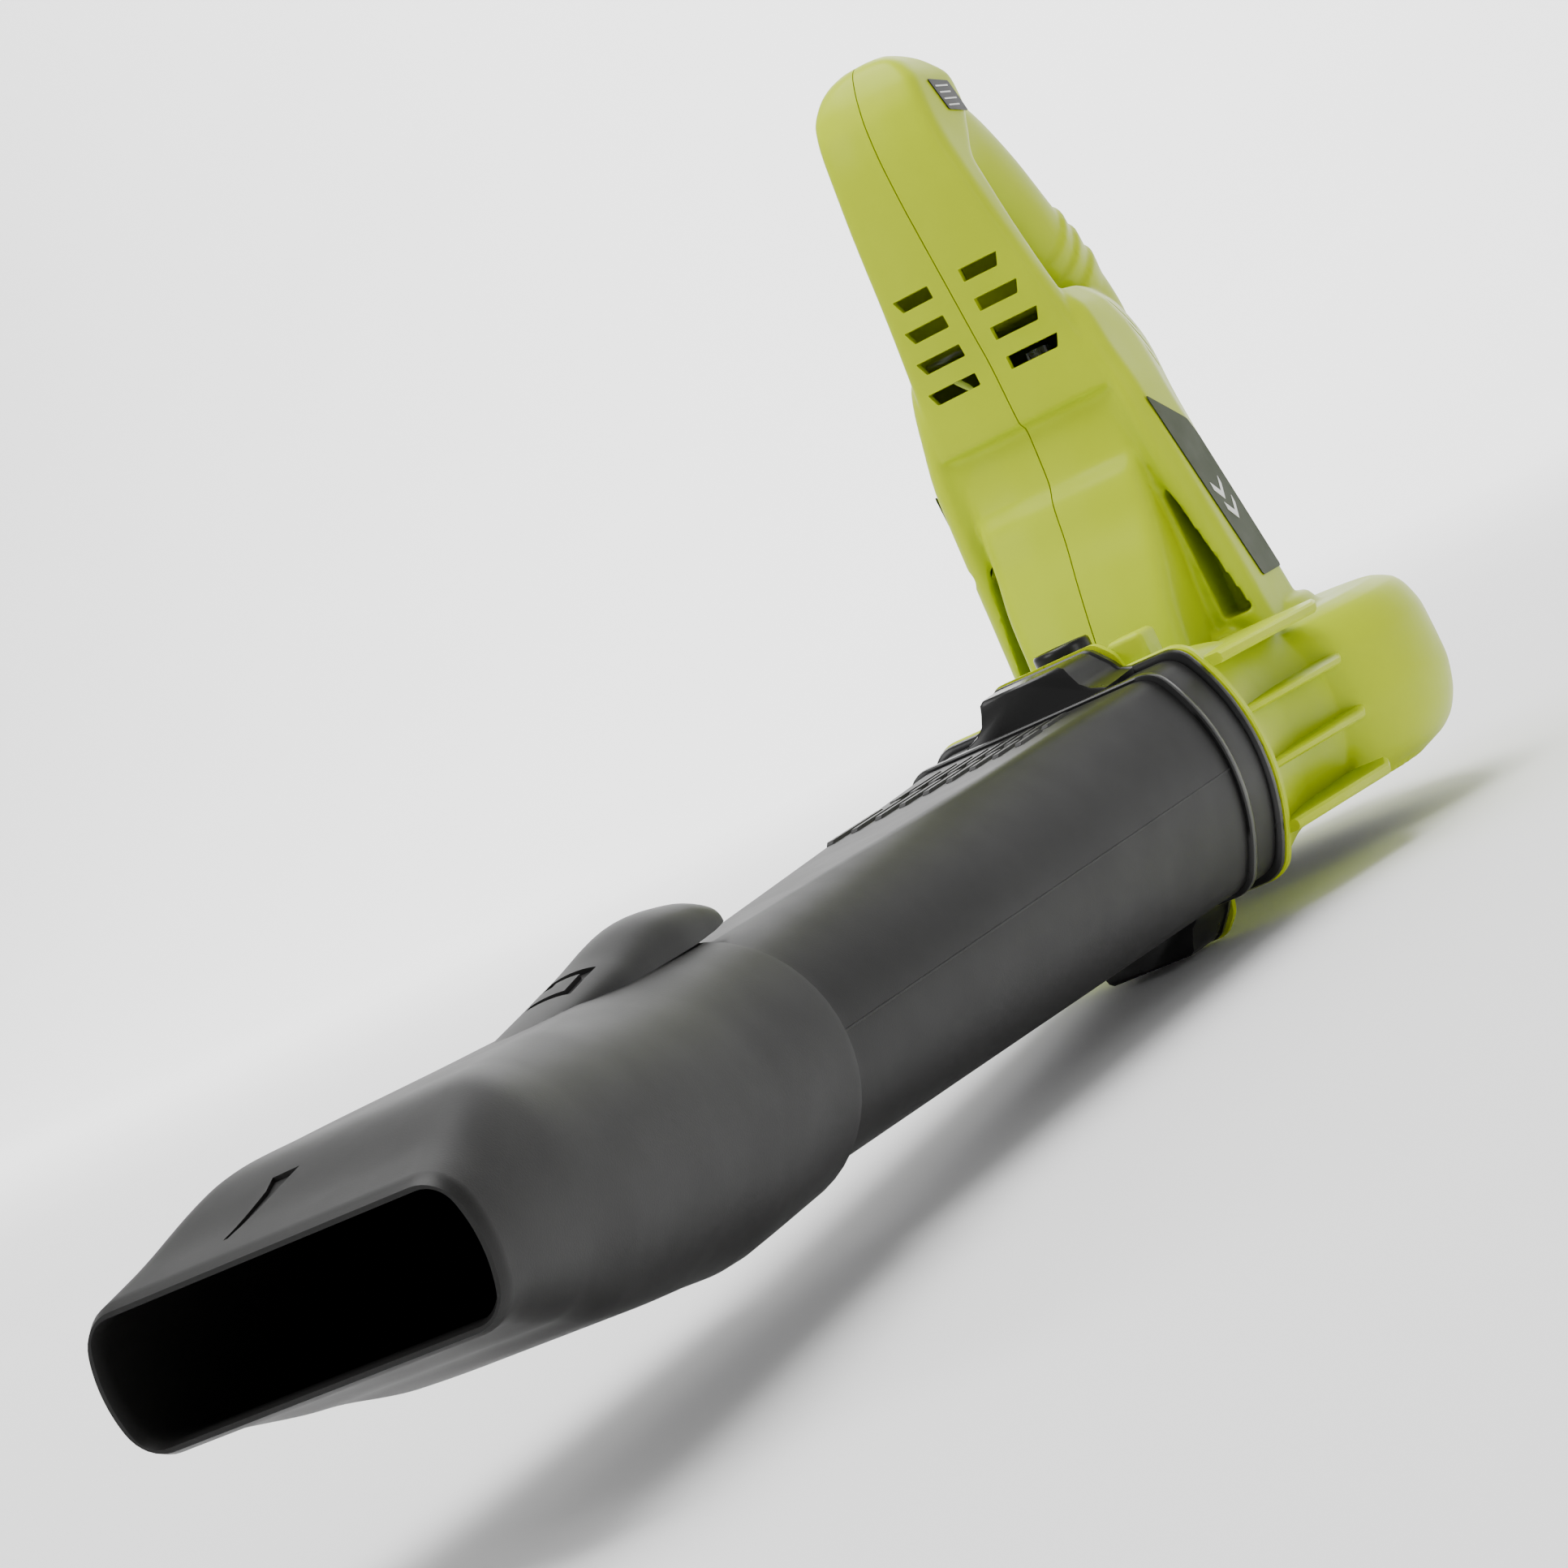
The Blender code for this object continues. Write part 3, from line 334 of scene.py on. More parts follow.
def grip(inset):
    """Rear grip: a bent oval bar with three finger ridges at its lower end."""
    path = refine([(0, -34, 250), (24, -12, 245), (50, 9, 230), (76, 26, 210), (101, 42, 190),
                   (121, 50, 172), (143, 50, 150)], 1.0)
    points = [Vector((0, y, z)) for _, y, z in path]
    rings = []
    last = len(points) - 1
    for i, point in enumerate(points):
        along = (points[min(i + 1, last)] - points[max(i - 1, 0)]).normalized()
        across = Vector((0, -along.z, along.y))
        ridge = 0.0
        if 80 < i < 107:       # three ridges, each 9 mm long, that fall off towards the pod
            ridge = 1.5 * (1 - ((i - 80) % 9) / 9)
        size = 1 - (0.12 if i in (0, last) else 0)
        half_w, half_d = (17 - 0.8 + ridge - inset) * size, (18 - 0.8 + ridge - inset) * size
        ring = []
        for k in range(56):
            t = 2 * pi * k / 56
            c, s = cos(t), sin(t)
            side = Vector((half_w * abs(c) ** 0.85 * (1 if c > 0 else -1), 0, 0))
            depth = half_d * abs(s) ** 0.85 * (1 if s > 0 else -1)
            ring.append(tuple(point + side + across * depth))
        rings.append(ring)
    return loft("grip", rings)


def flange():
    """Thin green rim around the collar, boxes included."""
    parts = [loft("rim", [duct_ring(y, 53.1 - cut, 38.1 - cut, DUCT_CORNER, DUCT_BOW)
                          for y, cut in ((-117, 0.5), (-116.4, 0), (-113.6, 0), (-113, 0.5))])]
    for side in (1, -1):
        outline = [(24, 35), (22, 42.7), (17, 48), (-17, 48), (-22, 42.7), (-24, 35)]
        smooth = rounded(outline, 2.0)
        parts.append(loft("pad", [[(x, y, DUCT_Z + side * z) for x, z in smooth]
                                  for y in (-116.9, -113.4)]))
    return parts


def neck_ribs():
    """Webs that run from the flange back into the scroll, thin at their outer edges."""
    ribs = []
    for side, reach in ((1, 68), (-1, 62)):
        for z, thick in ((60, 1.7), (42, 1.3), (24, 1.3), (5.5, 1.7)):
            outer = ((30, -114.5), (51.4, -114.5), (reach, -62), (reach - 6, -40), (30, -40))
            rings = []
            for level, tuck in ((-1, 0.9), (-0.5, 0), (0.5, 0), (1, 0.9)):
                rings.append([(side * (x - (tuck if x > 31 else 0)), y, z + level * thick)
                              for x, y in outer])
            ribs.append(loft("web", rings))
    return ribs


def vent_slots():
    """Four slots on each side of the seam."""
    slots = []
    for row in range(4):
        z = 197.9 - 10.3 * row
        front = -53.6 + 2.4 * row
        outer = 17.6 + 1.6 * row
        for side in (1, -1):
            corners = rounded(((5.8, z), (5.8, z + 4.3), (outer + 1.8, z + 4.3), (outer, z)), 0.5)
            slots.append(loft("slot", [[(side * x, y, h) for x, h in corners]
                                       for y in (front - 8, front + 8)]))
    return slots


def cylinder_x(r, low, high, y, z):
    rings = [[(x, y + r * cos(2 * pi * k / 40), z + r * sin(2 * pi * k / 40))
              for k in range(40)] for x in (low, high)]
    return loft("drill", rings)


def cuts():
    """Everything cut through the finished shell, as separate closed tools."""
    tools = vent_slots()
    hole_r = BUTTON_R + 0.5
    tools.append(lathe("button_hole", [(0.01, BUTTON_FLOOR), (hole_r, BUTTON_FLOOR),
                                       (hole_r, 90), (0.01, 90)], (0, BUTTON_Y)))
    tools.append(lathe("intake", [(0.01, -3), (52, -3), (52, 6), (0.01, 6)]))
    ring = [(SOCKET_R * cos(2 * pi * k / 64), SOCKET_R * sin(2 * pi * k / 64)) for k in range(64)]
    tools.append(loft("socket", [[(x, y, SOCKET_Z + z) for x, z in ring] for y in (54, 90)]))
    tools.append(loft("trigger_slot", [[(x, y, z) for y, z in TRIGGER_SLOT]
                                       for x in (-6.6, 6.6)]))
    for y, z, length in SCREWS:
        tools.append(cylinder_x(3.6, -length / 2 - 20, -length / 2 + 2, y, z))
    for side in (1, -1):
        for k in range(3):
            y0, z0 = -8 + 3 * k, 177 - 9.2 * k
            line = ((y0, z0), (y0 + 23, z0 - 11), (y0 + 25, z0 - 14.4), (y0 + 2, z0 - 3.4))
            tools.append(loft("groove", [[(side * x, y, z) for y, z in rounded(line, 0.8)]
                                         for x in (27.5 + 1.7 * k, 60)]))
    tools.append(box("seam", (-SEAM, -300, -100), (SEAM, 300, 400)))
    return tools


def housing_shell(mat):
    """Join the solids, melt them together so that every edge is rounded, then hollow and cut."""
    plateau = lathe("plateau", PLATEAU)
    lug = cylinder_x(6.5, -10, 10, 95, 29)
    body = merged("housing_shell", [scroll(0), outlet(0), spine(0), pod(0), grip(0), plateau, lug])
    melt(body, VOXEL, 5)
    boss = lathe("boss", [(0.01, 60), (12.6, 60), (12.4, 73), (12, 74), (0.01, 74)],
                 (0, BUTTON_Y))
    catch = box("catch", (19, -114, 55), (31, -99, 77), 2.0)
    boolean(body, flange() + neck_ribs() + [boss, catch], "UNION")
    core = merged("core", [scroll(WALL), outlet(WALL), spine(WALL), pod(WALL), grip(WALL),
                           lathe("shaft_hole", [(0.01, 50), (12, 50), (12, 72), (0.01, 72)])])
    melt(core, CORE_VOXEL, 2)
    boolean(body, [core], "DIFFERENCE")
    boolean(body, cuts(), "DIFFERENCE")
    finish_mesh(body, mat, 38)
    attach(body, "housing")
    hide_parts("housing_left", "housing_right")


def melt(obj, voxel, rounds):
    """Fuse overlapping solids into one skin and soften its edges."""
    mod = obj.modifiers.new("fuse", "REMESH")
    mod.mode = "VOXEL"
    mod.voxel_size = voxel * MM
    soft = obj.modifiers.new("soften", "SMOOTH")
    soft.factor = 0.5
    soft.iterations = rounds
    evaluate(obj)


# ---------------------------------------------------------------- tube and collar
def tube_size(y):
    """Half width, half height and side bow of the tapering tube."""
    s = min(1.0, (y - COLLAR_Y) / (TAPER_END_Y - COLLAR_Y))
    h = 33.9 - 4.5 * s
    return 50.3 - 18.7 * s, h, 11 + (0.93 * h - 11) * s


def blower_tube(mat):
    """Hollow tapering tube with a fine parting line on each side and grip bars on top."""
    ys = list(np.linspace(TUBE_END_Y, COLLAR_Y + 6, 90))
    rings = [duct_ring(y, *tube_size(y)[:2], DUCT_CORNER, tube_size(y)[2]) for y in ys]
    for y in reversed(ys):
        w, h, bow = tube_size(y)
        rings.append(duct_ring(y, w - DUCT_WALL, h - DUCT_WALL, 6.6, bow * (h - DUCT_WALL) / h))
    parts = [loft("tube", rings, cyclic=True)]
    for side in (1, -1):
        strip = []
        for y in np.linspace(-410, COLLAR_Y + 2, 40):
            x = tube_size(y)[0]
            strip.append([(side * (x + dx), y, DUCT_Z + dz) for dx, dz in
                          ((-0.6, -0.4), (0.22, -0.2), (0.22, 0.2), (-0.6, 0.4))])
        parts.append(loft("parting_line", strip))
    parts += grip_bars()
    tube = merged("tube", parts)
    finish_mesh(tube, mat, 30)
    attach(tube, "tube")
    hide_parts("blower_tube")


def grip_bars():
    """Raised anti-slip bars on top of the tube, in two slanted groups."""
    bars = []
    for k in range(9):
        x = -21 + 4.6 * k
        low, high = -262 + 7.5 * k, -172 + 1.8 * k
        for part in range(2):
            a = low + (high - low) * part * 0.54
            b = a + (high - low) * 0.44
            rings = []
            for y, rise in ((a, 0.1), (a + 1.2, 0.9), (b - 1.2, 0.9), (b, 0.1)):
                top = DUCT_Z + tube_size(y)[1]
                rings.append([(x - 1.3, y, top - 0.5), (x - 1.0, y, top + rise),
                              (x + 1.0, y, top + rise), (x + 1.3, y, top - 0.5)])
            bars.append(loft("bar", rings))
    return bars


def collar(black, charcoal):
    """Stepped black collar: front bead, sleeve, rear bead, and the two latch boxes."""
    profile = [(-148, 50.0, 33.6), (-148.0, 51.2, 34.6), (-147.6, 51.7, 35.1),
               (-146.6, 51.9, 35.3), (-144.9, 51.9, 35.3), (-144.2, 51.6, 35.0),
               (-143.9, 51.0, 34.5), (-143.6, 50.9, 34.4)]
    rear = [(-121.9, 51.2, 35.3), (-121.8, 51.9, 36.4), (-121.3, 52.5, 37.2),
            (-120.2, 52.7, 37.6), (-119.2, 52.7, 37.6), (-118.6, 52.3, 37.2),
            (-118.4, 51.5, 36.4)]
    beads = []
    for name, rows in (("bead_front", profile), ("bead_rear", rear)):
        inner = [(rows[-1][0], SPIGOT_W, SPIGOT_H), (rows[0][0], SPIGOT_W, SPIGOT_H)]
        beads.append(loft(name, [duct_ring(y, w, h, DUCT_CORNER, DUCT_BOW)
                                 for y, w, h in rows + inner], cyclic=True))
    for side in (1, -1):
        beads.append(latch_box(side))
    collar_obj = finish_mesh(merged("collar", beads), black, 35)
    rows = [(-143.55, 50.5, 34.3), (-143, 50.6, 34.4), (-132, 50.8, 34.7), (-122, 51.0, 35.1),
            (-121.95, 48, 33), (-118.4, 48, 33), (-118.4, SPIGOT_W, SPIGOT_H),
            (-103.4, SPIGOT_W, SPIGOT_H), (-103.4, 44.8, 29.6), (-143.55, 44.8, 29.6)]
    sleeve = loft("sleeve", [duct_ring(y, w, h, DUCT_CORNER, DUCT_BOW) for y, w, h in rows],
                  cyclic=True)
    finish_mesh(sleeve, charcoal, 30)
    for obj, slot in ((collar_obj, "black_plastic"), (sleeve, "charcoal_plastic")):
        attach(obj, "tube")


def latch_box(side):
    """Box above or below the collar whose front face sweeps down to the front bead."""
    front = [(0, 46.6), (13.0, 46.6), (14.4, 45.6), (15.2, 43.2), (16.8, 39.6), (19.6, 37.2),
             (24, 35.6), (24, 28)]
    middle = [(0, 46.9), (13.6, 46.9), (15.3, 45.8), (16.6, 43.2), (18.4, 40.0), (21, 37.6),
              (25, 36.0), (25, 28)]
    rear = [(0, 47.0), (15, 47.0), (16.9, 46.0), (19, 43.6), (21.6, 40.6), (23.2, 38.2),
            (27, 36.9), (27, 28)]
    rim = [(0, 47.4), (15.4, 47.4), (17.4, 46.4), (19.6, 43.9), (22.2, 40.8), (23.7, 38.4),
           (27.4, 37.3), (27.4, 28)]
    stations = ((-141.2, front, -0.7), (-140.6, front, 0), (-133, middle, 0), (-122, rear, 0),
                (-121.6, rim, 0), (-119, rim, 0), (-118.5, rim, -0.5))
    rings = []
    for y, half, shrink in stations:
        outline = [(x + (shrink if x else 0), z + shrink) for x, z in half]
        outline += [(-x, z) for x, z in reversed(outline[1:])]
        rings.append([(x, y, DUCT_Z + side * z) for x, z in outline])
    return loft("latch_box", rings)


# ---------------------------------------------------------------- nozzle
# Stations as (y, half width, half height, corner, side bow, centre's height over the tube's axis)
NOZZLE = [
    (-598, 45.8, 14.9, 9, 4, 9.7), (-586, 45.2, 17.0, 12, 5, 10.5), (-561, 43.8, 24.0, 15, 11, 10.8),
    (-538, 42.2, 27.5, 14, 17, 7.8), (-488, 38.6, 30.8, 13, 25, 3.0),
    (-452, 36.2, 32.8, 9, 30.3, 0.3), (-414, 35.0, 32.6, 9, 30.2, 0)]


def nozzle(mat):
    """Flat concentrator with a softened mouth and a lock tab on top."""
    rows = refine(NOZZLE, 2.0)
    mouth_y = rows[0][0]
    outside, inside = [], []
    for y, w, h, corner, bow, dz in rows:
        lip = 0.7 if y == mouth_y else 0.0
        outside.append(duct_ring(y, w - lip, h - lip, corner, bow, 0, DUCT_Z + dz))
        inside.append(duct_ring(y, w - DUCT_WALL + lip, h - DUCT_WALL + lip,
                                max(corner - DUCT_WALL, 1), bow * (h - DUCT_WALL) / h,
                                0, DUCT_Z + dz))
    rings = outside + inside[::-1]
    shell = loft("nozzle_shell", rings, cyclic=True)
    tab = []
    for y, half_w, low, high in refine([
            (-490, 8, 31.6, 33.4), (-474, 11, 31.4, 35.6), (-450, 12.5, 31.6, 39.4),
            (-423, 12.5, 31.6, 43.8), (-406, 11.4, 32, 42.2), (-397, 10, 32.6, 39.6),
            (-393, 8, 33, 37), (-391.5, 6.5, 33, 35.4)], 1.5):
        tab.append([(half_w * cos(t), y, DUCT_Z + low + (high - low) * max(sin(t), 0) ** 0.75)
                    for t in np.linspace(0, pi, 25)])
    boolean(shell, [loft("tab", tab)], "UNION")
    boolean(shell, [arrow_mark(), tab_mark()], "DIFFERENCE")
    finish_mesh(shell, mat, 30)
    shell.name = "nozzle_visual"
    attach(shell, "nozzle_body")
    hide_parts("nozzle")


def arrow_mark():
    """Slim recessed wedge near the mouth that points along the air stream."""
    plan = ((-12.6, -588), (-11.6, -588), (-3.6, -569), (-10, -569.4), (-9.4, -574))
    return loft("arrow", [[(x, y, z + (y + 588) * 0.29) for x, y in plan] for z in (57.2, 75)])


def tab_mark():
    """Recessed open square on the lock tab."""
    plan = ((-5.5, -468), (6.5, -468), (6.5, -453), (-5.5, -453), (-5.5, -458), (-2.7, -458),
            (-2.7, -456), (3.7, -456), (3.7, -465), (-5.5, -465))
    return loft("mark", [[(x, y, z + (y + 468) * 0.16) for x, y in plan] for z in (66.2, 80)])


# ---------------------------------------------------------------- small pieces
def release_button(mat):
    """Round button with a ring groove and a stem inside its spring."""
    button = lathe("button", [(0.01, 80.9), (6.0, 81.1), (7.4, 81.6), (8.0, 82), (8.7, 81.9),
                              (9.2, 81.3), (9.3, 80.4), (9.3, 76.2), (9.0, 75.9), (9.0, 75.3),
                              (9.3, 75.0), (9.3, 72.5), (4.2, 72.5), (4.2, 70), (0.01, 70)],
                   (0, BUTTON_Y))
    finish_mesh(button, mat, 35)
    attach(button, "button_body")
    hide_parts("release_button")


def release_spring(mat):
    """Round-wire spring under the button."""
    low, high, radius, wire, turns = 66.5, 72.2, 6.2, 0.45, 3
    rings = []
    steps = 48 * turns
    for i in range(steps + 1):
        t = 2 * pi * turns * i / steps
        z = low + wire + (high - low - 2 * wire) * i / steps
        rings.append([((radius + wire * cos(a)) * cos(t),
                       BUTTON_Y + (radius + wire * cos(a)) * sin(t), z + wire * sin(a))
                      for a in np.linspace(0, 2 * pi, 13)[:-1]])
    spring = finish_mesh(loft("spring", rings), mat, 40)
    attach(spring, "housing")
    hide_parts("release_spring")
    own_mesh(spring)


def pod_side(z):
    """Half width of the motor cover's flat side at a height."""
    return 45 - (z - 60) * 0.0717


def side_panel(side, olive, white):
    """Dark slanted decal with two plain chevrons."""
    outline = rounded(((-38.5, 141.5), (-12, 130), (-9, 124), (1, 74), (-20, 74)), 1.6)
    rings = [[(side * (pod_side(z) + t), y + 0.15 * (t > 0.45), z) for y, z in outline]
             for t in (0.25, 0.5)]
    panel = finish_mesh(loft("decal", rings), olive, 30)
    name = "side_label_left" if side > 0 else "side_label_right"
    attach(panel, "housing")
    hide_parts(name)
    marks = []
    for k in range(2):
        y, z = -17.5 + 3.2 * k, 104 - 7.5 * k
        plan = ((y - 6, z + 4), (y, z), (y + 4.2, z + 5), (y + 4.2, z + 2.4), (y, z - 2.8),
                (y - 6, z + 1.2))
        marks.append(loft("chevron", [[(side * (pod_side(c) + t), b, c) for b, c in plan]
                                      for t in (0.45, 0.62)]))
    chevrons = finish_mesh(merged("chevrons", marks), white, 30)
    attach(chevrons, "housing")


def head_side(z):
    """Half width of the head's flat side at a height."""
    return 20.4 - 0.074 * (z - 244)


def rating_plate(black, white):
    """Black plate near the crown with four plain rules."""
    outline = rounded(((-43, 261), (-26, 260), (-22, 249), (-38, 250)), 0.8)
    rings = [[(head_side(z) + t, y, z) for y, z in outline] for t in (0.3, 0.6)]
    plate = finish_mesh(loft("plate", rings), black, 30)
    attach(plate, "housing")
    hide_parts("rating_label")
    lines = []
    for k in range(4):
        z = 258.6 - 2.3 * k
        y0 = -39.5 + (258.6 - z) * 0.42
        rows = [(y0, z), (y0 + 11 - 1.5 * (k % 2), z), (y0 + 11 - 1.5 * (k % 2), z - 0.5),
                (y0, z - 0.5)]
        lines.append(loft("rule", [[(head_side(c) + t, b, c) for b, c in rows]
                                   for t in (0.5, 0.68)]))
    rules = finish_mesh(merged("rules", lines), white, 30)
    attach(rules, "housing")


# ---------------------------------------------------------------- materials
def shader_nodes(name):
    mat = bpy.data.materials.new(name)
    mat.use_nodes = True
    tree = mat.node_tree
    return mat, tree, tree.nodes["Principled BSDF"]


def add(tree, kind, **values):
    node = tree.nodes.new(kind)
    for key, value in values.items():
        if key in node.inputs:
            node.inputs[key].default_value = value
        else:
            setattr(node, key, value)
    return node


def noise(tree, scale, detail=3.0):
    """Noise by place, so that it needs no UVs."""
    coords = add(tree, "ShaderNodeNewGeometry")
    node = add(tree, "ShaderNodeTexNoise", Scale=scale, Detail=detail)
    tree.links.new(coords.outputs["Position"], node.inputs["Vector"])
    return node


def spread(tree, source, low, high):
    """Stretch a noise's middle range to low...high."""
    node = add(tree, "ShaderNodeMapRange")
    node.inputs["From Min"].default_value = 0.3
    node.inputs["From Max"].default_value = 0.7
    node.inputs["To Min"].default_value = low
    node.inputs["To Max"].default_value = high
    tree.links.new(source, node.inputs["Value"])
    return node.outputs["Result"]


def plastic(name, colour, edge, rough, grain, scale=2600.0, bump=0.05, gloss=0.4):
    """Moulded plastic: broad tone drift, fine spark-eroded grain and a painted highlight on sharp
    edges.
    """
    mat, tree, shader = shader_nodes(name)
    broad = noise(tree, 14.0)
    # Convex edges are painted paler in the edge colour: a painted highlight along the rounding.
    edge_geometry = add(tree, "ShaderNodeNewGeometry")
    edge_highlight_mask = add(tree, "ShaderNodeMapRange")
    edge_highlight_mask.inputs["From Min"].default_value = 0.52
    edge_highlight_mask.inputs["From Max"].default_value = 0.6
    tree.links.new(edge_geometry.outputs["Pointiness"], edge_highlight_mask.inputs["Value"])
    drift = add(tree, "ShaderNodeMix", data_type="RGBA")
    drift.inputs["A"].default_value = (*[c * 0.94 for c in colour], 1)
    drift.inputs["B"].default_value = (*[min(c * 1.06, 1) for c in colour], 1)
    tree.links.new(spread(tree, broad.outputs["Fac"], 0, 1), drift.inputs["Factor"])
    edge_highlight = add(tree, "ShaderNodeMix", data_type="RGBA")
    edge_highlight.inputs["B"].default_value = (*edge, 1)
    amount = add(tree, "ShaderNodeMath", operation="MULTIPLY")
    amount.inputs[1].default_value = 0.35
    tree.links.new(edge_highlight_mask.outputs["Result"], amount.inputs[0])
    tree.links.new(amount.outputs["Value"], edge_highlight.inputs["Factor"])
    tree.links.new(drift.outputs["Result"], edge_highlight.inputs["A"])
    tree.links.new(edge_highlight.outputs["Result"], shader.inputs["Base Color"])
    fine = noise(tree, scale, 2.0)
    streak = noise(tree, 60.0, 5.0)
    tree.links.new(spread(tree, streak.outputs["Fac"], rough - grain, rough + grain),
                   shader.inputs["Roughness"])
    height = add(tree, "ShaderNodeBump", Strength=bump, Distance=0.0002)
    tree.links.new(fine.outputs["Fac"], height.inputs["Height"])
    tree.links.new(height.outputs["Normal"], shader.inputs["Normal"])
    shader.inputs["Specular IOR Level"].default_value = gloss
    return mat


def metal(name, colour, rough, scale=900.0):
    """Machined metal with fine scratches and uneven polish."""
    mat, tree, shader = shader_nodes(name)
    shader.inputs["Metallic"].default_value = 1.0
    tone = noise(tree, 120.0)
    mix = add(tree, "ShaderNodeMix", data_type="RGBA")
    mix.inputs["A"].default_value = (*[c * 0.8 for c in colour], 1)
    mix.inputs["B"].default_value = (*colour, 1)
    tree.links.new(tone.outputs["Fac"], mix.inputs["Factor"])
    tree.links.new(mix.outputs["Result"], shader.inputs["Base Color"])
    grain = noise(tree, scale)
    tree.links.new(spread(tree, grain.outputs["Fac"], rough - 0.08, rough + 0.1),
                   shader.inputs["Roughness"])
    bump = add(tree, "ShaderNodeBump", Strength=0.1, Distance=0.0001)
    tree.links.new(grain.outputs["Fac"], bump.inputs["Height"])
    tree.links.new(bump.outputs["Normal"], shader.inputs["Normal"])
    return mat


def make_materials():
    """One procedural finish for each slot of the record, and a white ink for the labels."""
    lime = (0.43, 0.53, 0.0)
    return {
        # The second colour of each plastic is its painted edge highlight.
        "green_plastic": plastic("lime", lime, (0.55, 0.65, 0.01), 0.38, 0.04, 3000, 0.035,
                                 gloss=0.14),
        "charcoal_plastic": plastic("charcoal", (0.0085, 0.0083, 0.0080), (0.03, 0.03, 0.03),
                                    0.46, 0.02, 2200, 0.10, gloss=0.17),
        "black_plastic": plastic("black_satin", (0.003, 0.003, 0.003), (0.015, 0.015, 0.015),
                                 0.3, 0.03, 2600, 0.08, gloss=0.35),
        "black_rubber": plastic("rubber", (0.012, 0.012, 0.012), (0.03, 0.03, 0.03), 0.75,
                                0.06, 1500, 0.2),
        "olive_label": plastic("olive", (0.014, 0.026, 0.0), (0.04, 0.05, 0.01), 0.4, 0.05,
                               3000, 0.03, gloss=0.08),
        "black_label": plastic("label", (0.004, 0.004, 0.004), (0.02, 0.02, 0.02), 0.4, 0.05,
                               2500, 0.05, gloss=0.3),
        "grey_nylon": plastic("nylon", (0.32, 0.32, 0.30), (0.4, 0.4, 0.4), 0.5, 0.06, 1800,
                              0.08),
        "carbon": plastic("carbon", (0.02, 0.02, 0.02), (0.05, 0.05, 0.05), 0.6, 0.1, 1400,
                          0.2),
        "capacitor_yellow": plastic("film_yellow", (0.7, 0.5, 0.05), (0.8, 0.6, 0.2), 0.4,
                                    0.06, 1500, 0.05),
        "steel": metal("steel", (0.55, 0.55, 0.56), 0.3),
        "lamination": metal("lamination", (0.25, 0.25, 0.26), 0.42, 2400.0),
        "copper": metal("copper", (0.72, 0.33, 0.14), 0.3, 2600.0),
        "brass": metal("brass", (0.75, 0.58, 0.25), 0.3),
        "aluminium_cast": metal("cast", (0.6, 0.6, 0.6), 0.45, 600.0),
        "white_ink": plastic("white_ink", (0.75, 0.76, 0.72), (0.8, 0.8, 0.8), 0.4, 0.04, 2000,
                             0.02),
    }


def dress_cad_nodes(mats):
    """Give every CAD node that stays visible the procedural finish of its own slot."""
    slots = {entry["node"]: entry["material_slot"] for entry in frame["record"]["subparts"]}
    for name, obj in frame["nodes"].items():
        for holder in obj.material_slots:
            holder.material = mats[slots[name]]


# ---------------------------------------------------------------- stage
def floor(level):
    """Pale sweep: flat ground that curves up far behind the object."""
    bm = bmesh.new()
    rows = []
    path = [(-6.0, level), (3.0, level)]
    path += [(3.0 + 2 * sin(t), level + 2 * (1 - cos(t))) for t in np.linspace(0.1, pi / 2, 12)]
    path.append((5.0, level + 9))
    for y, z in path:
        rows.append([bm.verts.new((x, y, z)) for x in np.linspace(-9, 9, 9)])
    for a, b in zip(rows, rows[1:]):
        for k in range(8):
            bm.faces.new((a[k], a[k + 1], b[k + 1], b[k]))
    obj = from_bmesh("floor", bm)
    mat, tree, shader = shader_nodes("pale_floor")
    tone = noise(tree, 3.0)
    ramp = add(tree, "ShaderNodeMix", data_type="RGBA")
    ramp.inputs["A"].default_value = (0.86, 0.86, 0.86, 1)
    ramp.inputs["B"].default_value = (0.9, 0.9, 0.9, 1)
    tree.links.new(tone.outputs["Fac"], ramp.inputs["Factor"])
    tree.links.new(ramp.outputs["Result"], shader.inputs["Base Color"])
    shader.inputs["Roughness"].default_value = 0.8
    obj.data.materials.append(mat)
    obj.data.shade_smooth()


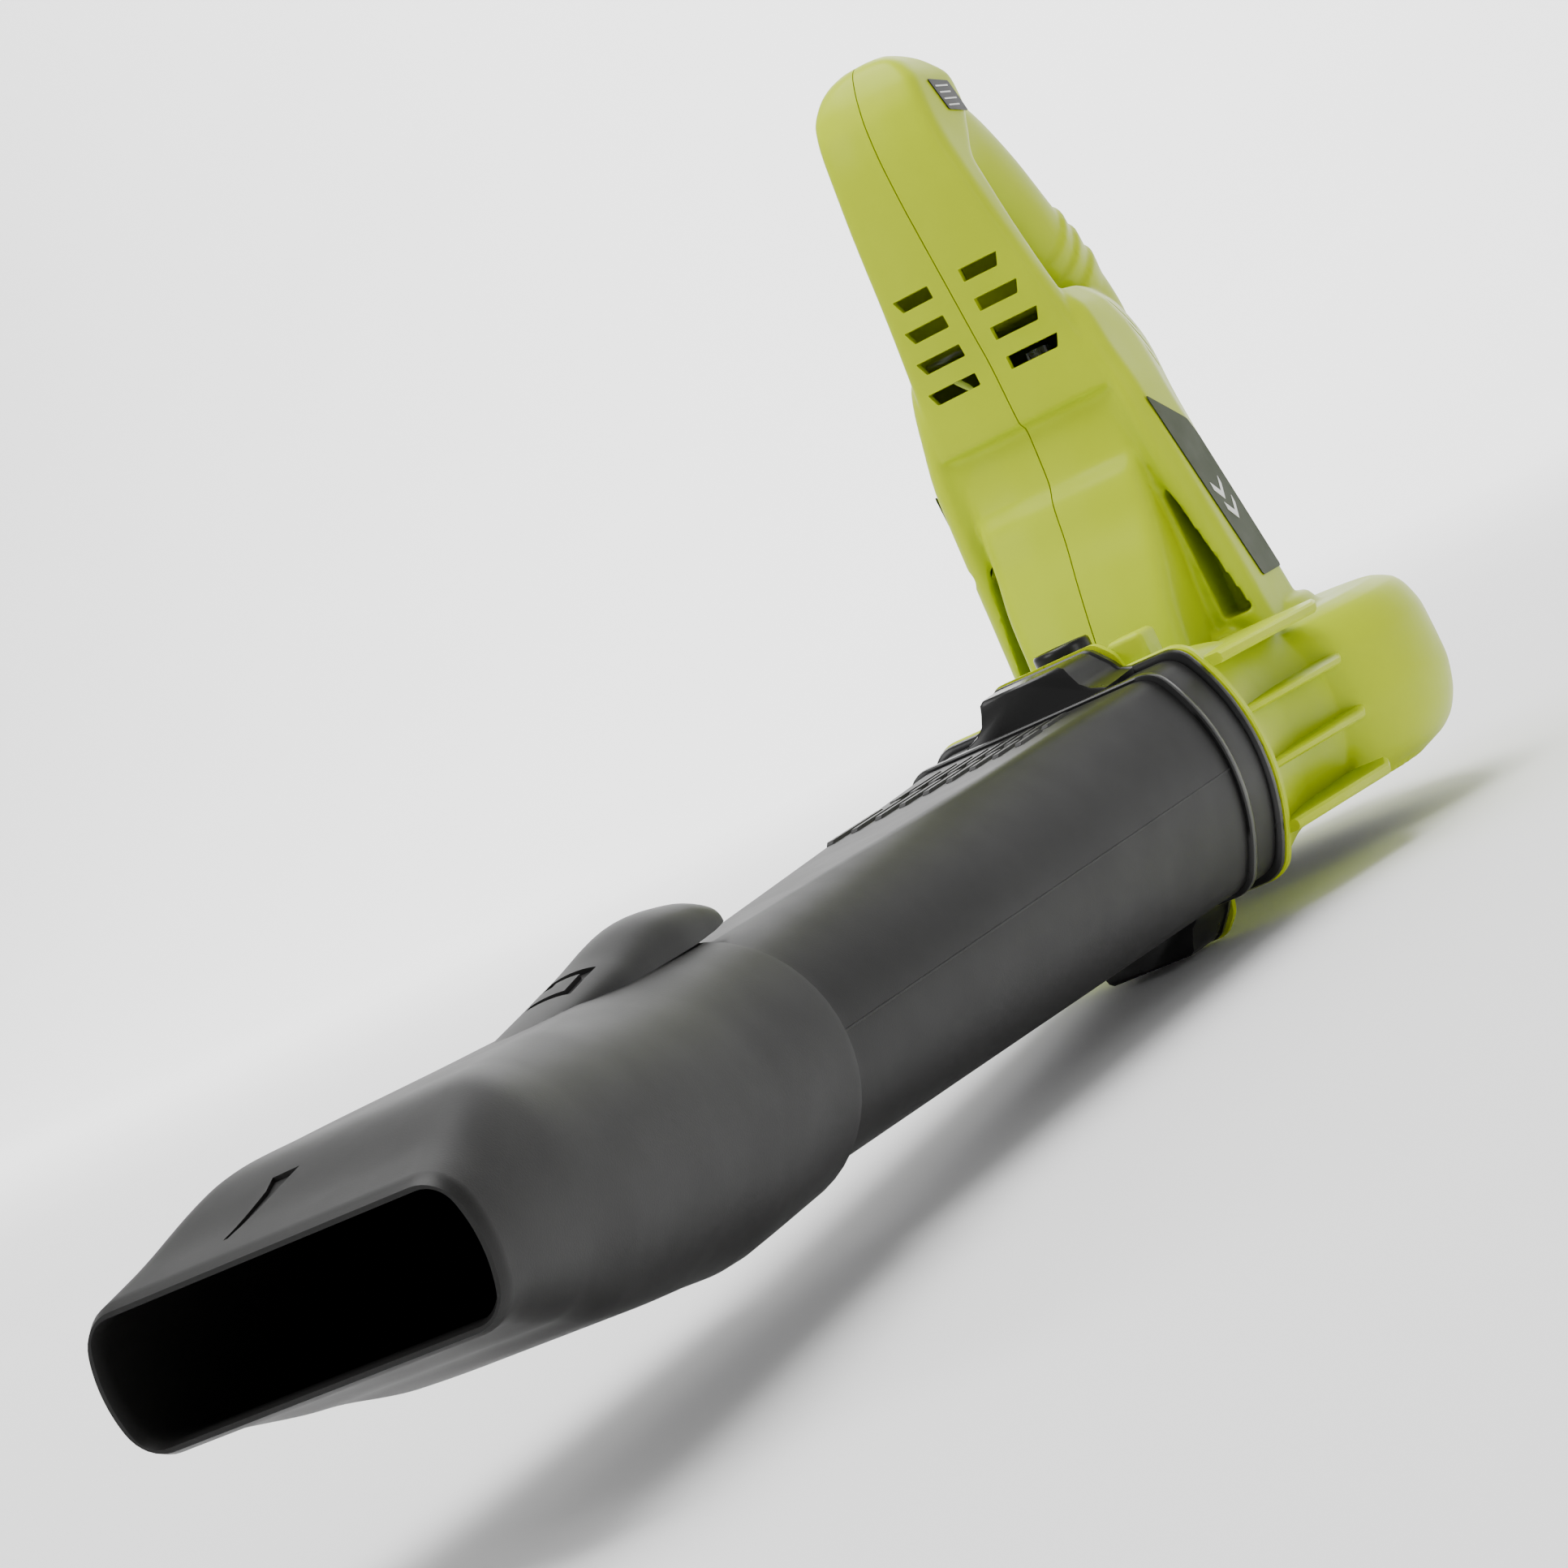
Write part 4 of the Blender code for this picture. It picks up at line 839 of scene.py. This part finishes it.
def area_light(name, place, target, size, watts):
    light = bpy.data.lights.new(name, "AREA")
    light.shape = "RECTANGLE"
    light.size, light.size_y = size
    light.energy = watts
    obj = bpy.data.objects.new(name, light)
    obj.location = place
    obj.rotation_euler = (Vector(target) - Vector(place)).to_track_quat("-Z", "Y").to_euler()
    bpy.context.scene.collection.objects.link(obj)


def lighting():
    """Bright overhead softbox, weaker front and side fills, and a light on the backdrop."""
    world = bpy.data.worlds.new("studio")
    world.use_nodes = True
    world.node_tree.nodes["Background"].inputs["Color"].default_value = (1, 1, 1, 1)
    world.node_tree.nodes["Background"].inputs["Strength"].default_value = 0.5
    bpy.context.scene.world = world
    centre = (0, -0.2, 0.1)
    area_light("top", (-0.2, -0.3, 2.0), centre, (1.8, 1.4), 70)
    area_light("key", (-1.4, -1.7, 1.2), centre, (1.0, 0.8), 16)
    area_light("side", (1.7, -0.5, 0.15), centre, (0.5, 1.2), 6)
    area_light("backdrop", (-1.5, 2.0, 3.2), (-2.2, 5.0, 0.8), (4.0, 1.5), 420)


def camera():
    """Long lens from low in front of the nozzle's left side, rolled to the right."""
    data = bpy.data.cameras.new("camera")
    data.sensor_width = 36.0
    data.lens = 82.07
    data.clip_start = 0.05
    obj = bpy.data.objects.new("camera", data)
    right = Vector((0.8227028, 0.3802678, -0.4225594))
    down = Vector((-0.3718788, -0.2021991, -0.9059921))
    ahead = Vector((-0.4299607, 0.9025032, -0.0249363))
    matrix = Matrix((right, -down, -ahead)).transposed().to_4x4()
    matrix.translation = Vector((0.38455, -1.12296, 0.10669))
    obj.matrix_world = matrix
    bpy.context.scene.collection.objects.link(obj)
    bpy.context.scene.camera = obj


def main():
    mats = make_materials()
    dress_cad_nodes(mats)
    housing_shell(mats["green_plastic"])
    blower_tube(mats["charcoal_plastic"])
    collar(mats["black_plastic"], mats["charcoal_plastic"])
    nozzle(mats["charcoal_plastic"])
    release_button(mats["black_plastic"])
    release_spring(mats["steel"])
    for side in (1, -1):
        side_panel(side, mats["olive_label"], mats["white_ink"])
    rating_plate(mats["black_label"], mats["white_ink"])
    floor(cad_bounds[0].z - 0.0005)
    lighting()
    camera()


main()
